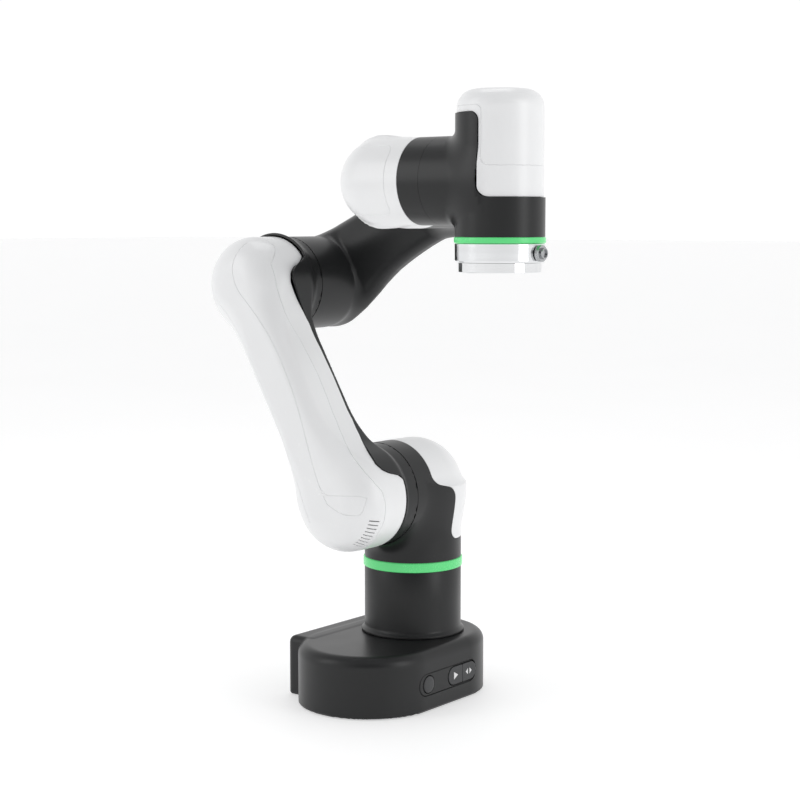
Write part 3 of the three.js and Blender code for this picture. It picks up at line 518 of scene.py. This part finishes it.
def forearm_field(p):
    """The elbow's drum, the J4 drum and the crowned link behind them."""
    s, c, y = along("fore", p)
    elbow = round_cut(np.hypot(s, c) - J3_RADIUS, y - FORE_BACK, ELBOW_ROUNDING)
    t = np.clip(s / FORE_LENGTH, 0, 1)
    above = 41.5 + (J4_RADIUS - 41.5) * t - 4.5 * np.sin(np.pi * t) ** 2
    below = np.interp(s, *np.transpose(FORE_LOW))
    radius = above + (below - above) * smooth_step(c, -12, 12)
    link = np.hypot(s - np.clip(s, 0, FORE_LENGTH), c) - radius
    link = round_cut(round_cut(link, y - FORE_BACK, 8), -7 - y + 0.009 * (c + 4) ** 2, 9)
    drum = round_cut(np.hypot(s - FORE_LENGTH, c) - J4_RADIUS, y - FORE_BACK, 8)
    crease = 3 + 9 * smooth_step(-c, 12, 36) + 8 * smooth_step(c, 14, 38)
    return round_union(round_union(elbow, link, crease), drum, 4 + 14 * smooth_step(s, 80, 140))


def elbow_cap_edge(p):
    """Positive inside the round cap at the back of the elbow."""
    s, c, _ = along("fore", p)
    return 27.0 - np.hypot(s, c)


def j4_cap_edge(p):
    s, c, _ = along("fore", p)
    return 29.0 - np.hypot(s - FORE_LENGTH, c)


def wrist1_field(p):
    x, y, z = p[:, 0] - J4[0], p[:, 1] - WRIST_Y, p[:, 2] - WRIST_Z
    r = np.hypot(y, z)
    body = np.where(x < 0, np.hypot(r, x), r) - WRIST_RADIUS
    radius = WRIST_RADIUS + (J4_RADIUS - WRIST_RADIUS) * smooth_step(y, 0, 34)
    stub = np.maximum(np.hypot(x, z) - radius, -y)
    return round_union(body, stub, 9)


def wrist1_cover_edge(p):
    """Positive on the white cover's side: in front of the stub's collar and short of the J5 housing."""
    return np.minimum(J4[0] + 39.0 - p[:, 0], -50.5 - p[:, 1])


WRIST2_TOP = 67.0
COVER2_RADIUS = 32.7
COVER2_EDGE = 2.6


def wrist2_field(p, radius=WRIST_RADIUS):
    x, y, z = p[:, 0] - J6[0], p[:, 1] - WRIST_Y, p[:, 2] - WRIST_Z
    upright = round_cut(np.hypot(x, y) - radius, z - WRIST2_TOP, 13.5)
    stub = np.maximum(np.hypot(y, z) - WRIST_RADIUS, x)
    return round_union(upright, stub, 8)


def wrist2_cover_field(p):
    return wrist2_field(p, COVER2_RADIUS)


def wrist2_cover_edge(p):
    """Positive on the white cover's side: the front half, and all of the rounded top."""
    x, z = p[:, 0] - J6[0], p[:, 2] - WRIST_Z
    front = round_cut(COVER2_EDGE - x, -12.7 - z, 8)
    return -round_union(front, 49.5 - z, 7)


BASE_RADIUS, BASE_NEAR_Y, BASE_FAR_Y = 59.8, -60.3, 2.6
BASE_MID_Y = (BASE_NEAR_Y + BASE_FAR_Y) / 2
BASE_LOW, BASE_TOP = (float(b[2]) for b in box_mm("base_casting"))
BOSS_X = float(box_mm("base_casting")[0][0])


def stadium(p, radius):
    return np.hypot(p[:, 0], p[:, 1] - np.clip(p[:, 1], BASE_NEAR_Y, BASE_FAR_Y)) - radius


def base_field(p):
    body = round_cut(stadium(p, BASE_RADIUS), p[:, 2] - BASE_TOP, 9)
    mid = np.array([(BOSS_X - 40) / 2, BASE_MID_Y, (BASE_LOW + BASE_TOP) / 2 - 20])
    half = np.array([(-40 - BOSS_X) / 2, 56.6, (BASE_TOP - BASE_LOW) / 2 + 20])
    q = np.abs(p - mid) - (half - 6)
    boss = np.linalg.norm(np.maximum(q, 0), axis=1) + np.minimum(q.max(1), 0) - 6
    return np.maximum(round_union(body, boss, 1.5), BASE_LOW - p[:, 2])


def pill(p, y, z, half, height):
    """An upright rounded bar outline on the base's front or rear face, negative inside."""
    reach = half - height
    return np.hypot(p[:, 1] - np.clip(p[:, 1], y - reach, y + reach), p[:, 2] - z) - height


# ---- materials ----


def new_material(name):
    material = bpy.data.materials.new(name)
    material.use_nodes = True
    nodes, links = material.node_tree.nodes, material.node_tree.links
    return material, nodes, links, nodes["Principled BSDF"]


def noise(nodes, links, place, scale, detail=3.0, stretch=None):
    """Factor of a noise at this many cells to the metre."""
    coordinates = place
    if stretch:
        mapping = nodes.new("ShaderNodeMapping")
        mapping.inputs["Scale"].default_value = stretch
        links.new(place, mapping.inputs["Vector"])
        coordinates = mapping.outputs["Vector"]
    texture = nodes.new("ShaderNodeTexNoise")
    texture.inputs["Scale"].default_value = scale
    texture.inputs["Detail"].default_value = detail
    links.new(coordinates, texture.inputs["Vector"])
    return texture.outputs["Fac"]


def spread(nodes, links, factor, low, high, start=0.3, end=0.7):
    """The factor mapped from start..end onto low..high."""
    node = nodes.new("ShaderNodeMapRange")
    for socket, value in zip(("From Min", "From Max", "To Min", "To Max"), (start, end, low, high)):
        node.inputs[socket].default_value = value
    links.new(factor, node.inputs["Value"])
    return node.outputs["Result"]


def blend(nodes, links, factor, first, second):
    """Colour that runs from the first to the second with the factor; either may be a link."""
    node = nodes.new("ShaderNodeMix")
    node.data_type = "RGBA"
    links.new(factor, node.inputs["Factor"])
    for socket, value in ((node.inputs[6], first), (node.inputs[7], second)):
        if isinstance(value, bpy.types.NodeSocket):
            links.new(value, socket)
        else:
            socket.default_value = (*value, 1)
    return node.outputs[2]


def finish_material(name, colour, variation, roughness, grain, bump, metallic=0.0, wear=None, coat=0.0,
                    stretch=None, emission=None, specular=0.5):
    """A surface with uneven colour and gloss, a fine grain, and worn edges where wear is given."""
    material, nodes, links, shader = new_material(name)
    place = nodes.new("ShaderNodeTexCoord").outputs["Object"]
    broad = noise(nodes, links, place, 22, 4, stretch)
    fine = noise(nodes, links, place, grain, 2, stretch)
    darker = tuple(v * (1 - variation) for v in colour)
    lighter = tuple(min(v * (1 + variation), 1) for v in colour)
    shade = blend(nodes, links, spread(nodes, links, broad, 0, 1), darker, lighter)
    if wear:
        edge = nodes.new("ShaderNodeNewGeometry").outputs["Pointiness"]
        worn = spread(nodes, links, edge, 0, 0.5, 0.56, 0.66)
        shade = blend(nodes, links, worn, shade, wear)
    links.new(shade, shader.inputs["Base Color"])
    mixed = nodes.new("ShaderNodeMath")
    mixed.operation = "ADD"
    links.new(spread(nodes, links, broad, roughness[0] / 2, roughness[1] / 2), mixed.inputs[0])
    links.new(spread(nodes, links, fine, roughness[0] / 2, roughness[1] / 2), mixed.inputs[1])
    links.new(mixed.outputs[0], shader.inputs["Roughness"])
    shader.inputs["Metallic"].default_value = metallic
    shader.inputs["Specular IOR Level"].default_value = specular
    shader.inputs["Coat Weight"].default_value = coat
    shader.inputs["Coat Roughness"].default_value = 0.2
    relief = nodes.new("ShaderNodeBump")
    relief.inputs["Strength"].default_value = bump
    relief.inputs["Distance"].default_value = 0.0002
    links.new(fine, relief.inputs["Height"])
    links.new(relief.outputs["Normal"], shader.inputs["Normal"])
    if emission:
        glow = blend(nodes, links, spread(nodes, links, broad, 0, 1),
                     tuple(v * 0.94 for v in emission), emission)
        links.new(glow, shader.inputs["Emission Color"])
        shader.inputs["Emission Strength"].default_value = 1.0
    return material


MATERIALS = {
    "charcoal_casting": finish_material(
        "charcoal_casting", (0.0145, 0.015, 0.0155), 0.06, (0.30, 0.37), 2600, 0.08,
        wear=(0.045, 0.045, 0.047), specular=0.3),
    "white_shell": finish_material(
        "white_shell", (0.80, 0.805, 0.81), 0.012, (0.27, 0.34), 1800, 0.04,
        wear=(0.88, 0.88, 0.88), coat=0.15),
    "light_ring": finish_material(
        "light_ring", (0.05, 0.40, 0.12), 0.05, (0.22, 0.30), 900, 0.03, emission=(0.06, 0.30, 0.10)),
    "bright_alloy": finish_material(
        "bright_alloy", (0.78, 0.79, 0.80), 0.03, (0.10, 0.17), 700, 0.05, metallic=1.0, wear=(0.9, 0.9, 0.9),
        stretch=(1, 1, 14)),
    "port_metal": finish_material(
        "port_metal", (0.55, 0.56, 0.57), 0.05, (0.22, 0.32), 1500, 0.08, metallic=1.0, wear=(0.8, 0.8, 0.8)),
    "connector_metal": finish_material(
        "connector_metal", (0.42, 0.43, 0.44), 0.08, (0.20, 0.32), 1500, 0.08, metallic=1.0,
        wear=(0.75, 0.75, 0.75)),
    "black_plastic": finish_material(
        "black_plastic", (0.016, 0.016, 0.017), 0.10, (0.36, 0.48), 2200, 0.12, wear=(0.05, 0.05, 0.05)),
    "button_plastic": finish_material(
        "button_plastic", (0.020, 0.021, 0.023), 0.10, (0.28, 0.38), 2200, 0.06, wear=(0.06, 0.06, 0.06)),
    "circuit_board": finish_material(
        "circuit_board", (0.02, 0.13, 0.05), 0.15, (0.35, 0.5), 1200, 0.15),
    "motor_winding": finish_material(
        "motor_winding", (0.45, 0.18, 0.07), 0.15, (0.3, 0.45), 1400, 0.3, metallic=0.8, stretch=(1, 1, 6)),
    "module_steel": finish_material(
        "module_steel", (0.42, 0.43, 0.44), 0.06, (0.25, 0.38), 1300, 0.12, metallic=1.0, stretch=(1, 1, 8)),
    "zinc_steel": finish_material(
        "zinc_steel", (0.52, 0.53, 0.55), 0.08, (0.25, 0.4), 1200, 0.1, metallic=1.0, wear=(0.7, 0.7, 0.7)),
    "base_plate_alloy": finish_material(
        "base_plate_alloy", (0.50, 0.51, 0.52), 0.06, (0.3, 0.42), 1100, 0.12,
        metallic=1.0, wear=(0.7, 0.7, 0.7)),
    "white_print": finish_material(
        "white_print", (0.70, 0.70, 0.70), 0.03, (0.4, 0.5), 1500, 0.03),
}


def paint(obj, name):
    obj.data.materials.clear()
    obj.data.materials.append(MATERIALS[name])


def piece(obj, body, finish, *nodes):
    """Gives a piece its finish and its body, and hides the CAD nodes that it stands for."""
    paint(obj, finish)
    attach(obj, body)
    if nodes:
        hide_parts(*nodes)
    return obj


for part in frame["record"]["subparts"]:
    paint(frame["nodes"][part["node"]], part["material_slot"])

# ---- base ----


PANEL_Y, PANEL_Z, PANEL_HALF, PANEL_HEIGHT = BASE_MID_Y, 23.0, 40.0, 9.5
POWER_Y, POWER_RADIUS = BASE_MID_Y - 27.5, 7.0
KEYPAD_Y, KEYPAD_HALF, KEYPAD_HEIGHT = BASE_MID_Y + 19.5, 19.6, 7.7
PANEL_FACE = float(box_mm("button_panel")[1][0])
port_low, port_high = box_mm("rear_connector_panel")


def beside_panel(p):
    """Positive away from the opening that the button panel sits in."""
    return np.where(p[:, 0] > 30, pill(p, PANEL_Y, PANEL_Z, PANEL_HALF, PANEL_HEIGHT), 9.0)


def beside_ports(p):
    middle, half = (port_low + port_high) / 2, (port_high - port_low) / 2 + 0.3
    q = np.abs(p[:, 1:] - middle[1:]) - (half[1:] - 1)
    outside = np.hypot(np.maximum(q[:, 0], 0), np.maximum(q[:, 1], 0)) + np.minimum(q.max(1), 0) - 1
    return np.where(p[:, 0] < BOSS_X + 4, outside, 9.0)


base_surface = surface_net(
    base_field, (BOSS_X - 6, BASE_NEAR_Y - 66, BASE_LOW - 5), (66, BASE_FAR_Y + 66, BASE_TOP + 6), 2.0
)
base = shell(
    "base_housing", base_field, base_surface,
    [lambda p: p[:, 2] - BASE_LOW - 0.02, beside_panel, beside_ports,
     lambda p: np.hypot(p[:, 0], p[:, 1]) - 40.0], depth=3.0,
)
piece(base, "base", "charcoal_casting", "base_casting")


def flat_piece(name, outline, x, thickness, edge, body, finish, nodes, holes=(), step=0.8):
    """A flat-faced piece on the front of the base: an outline with a softly rounded front edge."""

    def field(p):
        d = round_cut(outline(p), p[:, 0] - x, edge)
        for hole in holes:
            d = round_cut(d, -hole(p), edge)
        return np.maximum(d, x - thickness - p[:, 0])

    low = np.array([x - thickness - 1.5, PANEL_Y - PANEL_HALF - 2, PANEL_Z - PANEL_HEIGHT - 2])
    high = np.array([x + 1.5, PANEL_Y + PANEL_HALF + 2, PANEL_Z + PANEL_HEIGHT + 2])
    points, triangles = surface_net(field, low, high, step)
    made = shell(name, field, (points, triangles), [lambda p: p[:, 0] - (x - thickness + 0.3)], depth=0.4)
    return piece(made, body, finish, *nodes)


flat_piece(
    "front_button_panel", lambda p: pill(p, PANEL_Y, PANEL_Z, PANEL_HALF - 0.35, PANEL_HEIGHT - 0.35),
    PANEL_FACE + 0.5, 2.4, 0.5, "base", "charcoal_casting", ["button_panel"],
    holes=[lambda p: np.hypot(p[:, 1] - POWER_Y, p[:, 2] - PANEL_Z) - POWER_RADIUS - 0.4,
           lambda p: pill(p, KEYPAD_Y, PANEL_Z, KEYPAD_HALF + 0.4, KEYPAD_HEIGHT + 0.4)],
)
turned(
    "power_button_cap",
    [(POWER_RADIUS, -4), (POWER_RADIUS, 0.2)] + arc((POWER_RADIUS - 0.7, 0.3), 0.7, 0, 70, 4)
    + [(POWER_RADIUS - 2, 1.05), (0, 1.25)],
    (PANEL_FACE, POWER_Y, PANEL_Z), "x", 96,
)
piece(bpy.data.objects["power_button_cap"], "power_button", "button_plastic", "power_button")
for body, side in (("run_button", -1), ("mode_button", 1)):
    flat_piece(
        body + "_pad",
        lambda p, side=side: np.maximum(
            pill(p, KEYPAD_Y, PANEL_Z, KEYPAD_HALF, KEYPAD_HEIGHT), 0.12 - side * (p[:, 1] - KEYPAD_Y)),
        PANEL_FACE + 0.8, 3.5, 0.5, body, "button_plastic", [body],
    )


def flat_mark(name, outline, y, z, x, body):
    """A thin printed mark on a button, from outline points in robot Y and Z."""
    count = len(outline)
    front = [(x + 0.05, y + v, z + w) for v, w in outline]
    back = [(x - 0.15, y + v, z + w) for v, w in outline]
    faces = [tuple(range(count))] + [
        (i, count + i, count + (i + 1) % count, (i + 1) % count) for i in range(count)
    ]
    return piece(make_object(name, front + back, faces, smooth=False), body, "white_print")


KEY_FACE = PANEL_FACE + 0.8
flat_mark("run_mark", [(-2.6, -3.2), (3.0, 0), (-2.6, 3.2)], KEYPAD_Y - 9.5, PANEL_Z, KEY_FACE, "run_button")
flat_mark("mode_mark_left", [(-4.2, 0), (-1.2, -2.6), (-1.2, 2.6)],
          KEYPAD_Y + 9.0, PANEL_Z, KEY_FACE, "mode_button")
flat_mark("mode_mark_right", [(1.2, -2.6), (4.2, 0), (1.2, 2.6)],
          KEYPAD_Y + 9.0, PANEL_Z, KEY_FACE, "mode_button")

# ---- column ----

collar = float(box_mm("column")[0][2])
turned(
    "column_shell",
    [(37, collar), (43.9, collar), (44.3, collar + 0.5), (44.3, collar + 1.4)]
    + arc((43.6, collar + 1.5), 0.7, 10, 60, 3)
    + [(42.3, collar + 3.7), (41.75, collar + 4.5), (COLUMN_RADIUS, collar + 5.6), (COLUMN_RADIUS, 80),
       (COLUMN_RADIUS, RING_LOW - 1.0), (COLUMN_RADIUS - 0.3, RING_LOW - 0.4), (37, RING_LOW - 0.4)],
    (0, 0, 0),
)
piece(bpy.data.objects["column_shell"], "base", "charcoal_casting", "column")


def light_band(name, radius, low, high, at, body, node):
    band = turned(
        name,
        [(radius - 4, low), (radius - 0.8, low)] + arc((radius - 0.7, low + 0.7), 0.7, -80, 0, 4)
        + arc((radius - 0.7, high - 0.7), 0.7, 0, 80, 4) + [(radius - 4, high)],
        at,
    )
    return piece(band, body, "light_ring", node)


light_band("base_light_band", 42.6, RING_LOW, RING_HIGH, (0, 0, 0), "base", "base_light_ring")

# ---- shoulder ----

SHOULDER_LOW = float(box_mm("shoulder_casting")[0][2])
SPLIT2 = float(J2[1])


def at_least(axis, value):
    return lambda p: p[:, axis] - value


def at_most(axis, value):
    return lambda p: value - p[:, axis]


def inside_of(edge, gap=SEAM / 2):
    return lambda p: edge(p) - gap


def outside_of(edge, gap=SEAM / 2):
    return lambda p: -edge(p) - gap


shoulder_surface = surface_net(shoulder_field, (-48, SPLIT2 - 6, SHOULDER_LOW - 6), (48, 48, 224), 2.0)
shoulder_limits = [at_least(2, SHOULDER_LOW + 0.1), at_least(1, SPLIT2 + GAP / 2)]
piece(shell("shoulder_housing", shoulder_field, shoulder_surface,
            shoulder_limits + [outside_of(shoulder_cap_edge)]),
      "shoulder", "charcoal_casting", "shoulder_casting")
piece(shell("shoulder_cap", shoulder_field, shoulder_surface,
            shoulder_limits + [inside_of(shoulder_cap_edge)]),
      "shoulder", "white_shell", "shoulder_rear_cap")

# ---- upper arm ----

upper_low, upper_high = box_mm("upper_arm_cover")
upper_box = (upper_low - 6, (upper_high[0] + 6, SPLIT2 + 6, upper_high[2] + 6))
upper_limits = [at_most(1, SPLIT2 - GAP / 2)]
piece(shell("upper_arm_housing", upper_casting_field, surface_net(upper_casting_field, *upper_box, 2.0),
            upper_limits + [outside_of(upper_cover_edge)]),
      "upper_arm", "charcoal_casting", "upper_arm_casting")
piece(shell("upper_arm_shell", upper_cover_field, surface_net(upper_cover_field, *upper_box, 2.0),
            [inside_of(upper_cover_edge)],
            [(parting_line, 0.35, 0.5), (panel_seams, 0.3, 0.4)], guides=VENT_GUIDES, holes=[vent_slots]),
      "upper_arm", "white_shell", "upper_arm_cover")

# ---- forearm ----

fore_low, fore_high = box_mm("forearm_casting")
fore_surface = surface_net(
    forearm_field,
    (fore_low[0] - 6, SPLIT2 - 6, fore_low[2] - 6),
    (fore_high[0] + 6, fore_high[1] + 6, fore_high[2] + 6),
    2.0,
)
SPLIT4 = float(J4[1])


def fore_front(p):
    """Positive behind the two planes where the neighbouring links turn."""
    s, _, y = along("fore", p)
    return np.where(s < 60, y - SPLIT2 - GAP / 2, y - SPLIT4 - GAP / 2)


piece(shell("forearm_housing", forearm_field, fore_surface,
            [fore_front, outside_of(elbow_cap_edge), outside_of(j4_cap_edge)]),
      "forearm", "charcoal_casting", "forearm_casting")
piece(shell("elbow_cap", forearm_field, fore_surface, [fore_front, inside_of(elbow_cap_edge)]),
      "forearm", "charcoal_casting", "elbow_rear_cap")
piece(shell("j4_cap", forearm_field, fore_surface, [fore_front, inside_of(j4_cap_edge)]),
      "forearm", "charcoal_casting", "forearm_rear_cap")

# ---- wrist 1 ----

wrist1_surface = surface_net(
    wrist1_field, (J4[0] - 44, WRIST_Y - 42, WRIST_Z - 46), (J5[0] + 6, SPLIT4 + 6, WRIST_Z + 46), 2.0
)
wrist1_limits = [at_most(0, float(J5[0]) - GAP / 2), at_most(1, SPLIT4 - GAP / 2)]
piece(shell("wrist_1_housing", wrist1_field, wrist1_surface, wrist1_limits + [outside_of(wrist1_cover_edge)]),
      "wrist_1", "charcoal_casting", "wrist_1_casting")
piece(shell("wrist_1_shell", wrist1_field, wrist1_surface, wrist1_limits + [inside_of(wrist1_cover_edge)],
            [(wrist1_panel, 0.3, 0.4)]), "wrist_1", "white_shell", "wrist_1_cover")

# ---- wrist 2 ----

RING2_LOW, RING2_HIGH = (float(b[2]) for b in box_mm("wrist_light_ring"))
wrist2_limits = [at_least(0, float(J5[0]) + GAP / 2), at_least(2, RING2_HIGH + GAP)]
wrist2_box = ((J5[0] - 6, WRIST_Y - 42, RING2_HIGH - 6), (J6[0] + 42, WRIST_Y + 42, WRIST_Z + WRIST2_TOP + 6))
wrist2_surface = surface_net(wrist2_field, *wrist2_box, 2.0)
piece(shell("wrist_2_housing", wrist2_field, wrist2_surface, wrist2_limits + [outside_of(wrist2_cover_edge)]),
      "wrist_2", "charcoal_casting", "wrist_2_casting")
cover2_surface = surface_net(wrist2_cover_field, *wrist2_box, 2.0)
piece(shell("wrist_2_shell", wrist2_cover_field, cover2_surface,
            wrist2_limits + [inside_of(wrist2_cover_edge)], [(wrist2_panel, 0.3, 0.4)]),
      "wrist_2", "white_shell", "wrist_2_cover")
light_band("wrist_light_band", 34.5, RING2_LOW, RING2_HIGH, (J6[0], WRIST_Y, 0),
           "wrist_2", "wrist_light_ring")

# ---- tool flange ----

flange_low, flange_high = (float(b[2]) for b in box_mm("tool_flange_body"))
turned(
    "flange_shell",
    [(12, flange_high), (33.5, flange_high), (33.9, flange_high - 0.4), (33.9, flange_low + 1.4),
     (33.0, flange_low), (12, flange_low)],
    (J6[0], WRIST_Y, 0),
)
piece(bpy.data.objects["flange_shell"], "tool_flange", "bright_alloy", "tool_flange_body")

# ---- floor, lights and camera ----

floor_material, nodes, links, shader = new_material("floor")
place = nodes.new("ShaderNodeTexCoord").outputs["Object"]
paper = noise(nodes, links, place, 3, 2)
links.new(blend(nodes, links, paper, (0.66, 0.66, 0.66), (0.69, 0.69, 0.69)), shader.inputs["Base Color"])
links.new(blend(nodes, links, paper, (0.98, 0.98, 0.98), (1.0, 1.0, 1.0)), shader.inputs["Emission Color"])
shader.inputs["Emission Strength"].default_value = FLOOR_GLOW
shader.inputs["Roughness"].default_value = 0.6
shader.inputs["Specular IOR Level"].default_value = 0.2
mesh = bpy.data.meshes.new("floor")
mesh.from_pydata([(-30, -30, 0), (30, -30, 0), (30, 30, 0), (-30, 30, 0)], [], [(0, 1, 2, 3)])
floor = bpy.data.objects.new("floor", mesh)
bpy.context.scene.collection.objects.link(floor)
mesh.materials.append(floor_material)


def area_light(name, at, target, size, power):
    light = bpy.data.lights.new(name, "AREA")
    light.shape = "RECTANGLE"
    light.size, light.size_y = size
    light.energy = power
    obj = bpy.data.objects.new(name, light)
    obj.location = at
    obj.rotation_euler = (Vector(target) - Vector(at)).to_track_quat("-Z", "Y").to_euler()
    bpy.context.scene.collection.objects.link(obj)


CENTRE = (0.03, -0.05, 0.27)
area_light("left_softbox", (-1.1, -1.5, 1.1), CENTRE, (0.8, 1.4), 6)
area_light("right_softbox", (1.8, 0.1, 0.8), CENTRE, (0.7, 1.4), 6.5)
area_light("top_softbox", (-0.3, 0.3, 1.9), CENTRE, (0.9, 0.9), 5)

# A bright room: white at the horizon, dimmer overhead and behind the photographer.
world = bpy.data.worlds.new("studio")
world.use_nodes = True
nodes, links = world.node_tree.nodes, world.node_tree.links
direction = nodes.new("ShaderNodeTexCoord").outputs["Generated"]
height = nodes.new("ShaderNodeSeparateXYZ")
links.new(direction, height.inputs[0])
facing = nodes.new("ShaderNodeVectorMath")
facing.operation = "DOT_PRODUCT"
facing.inputs[1].default_value = (0.586, -0.769, 0.255)
links.new(direction, facing.inputs[0])
room = blend(nodes, links, spread(nodes, links, height.outputs["Z"], 0, 1, 0.3, 0.95), (1.02, 1.02, 1.02),
             (0.55, 0.55, 0.56))
shade = nodes.new("ShaderNodeMath")
shade.operation = "MULTIPLY"
links.new(spread(nodes, links, facing.outputs["Value"], 0, 1, 0.76, 0.96), shade.inputs[0])
links.new(spread(nodes, links, height.outputs["Z"], 0, 1, 0.06, 0.14), shade.inputs[1])
room = blend(nodes, links, shade.outputs["Value"], room, (0.10, 0.10, 0.105))
links.new(room, nodes["Background"].inputs["Color"])
nodes["Background"].inputs["Strength"].default_value = 1.0
bpy.context.scene.world = world
bpy.context.scene.view_settings.view_transform = "Standard"

camera = bpy.data.objects.new("camera", bpy.data.cameras.new("camera"))
camera.data.lens = 78.27
camera.data.sensor_width = 36
camera.location = (0.89887, -1.17859, 0.40312)
camera.rotation_euler = (math.radians(90 - 5.89), 0, math.radians(37.76))
bpy.context.scene.collection.objects.link(camera)
bpy.context.scene.camera = camera
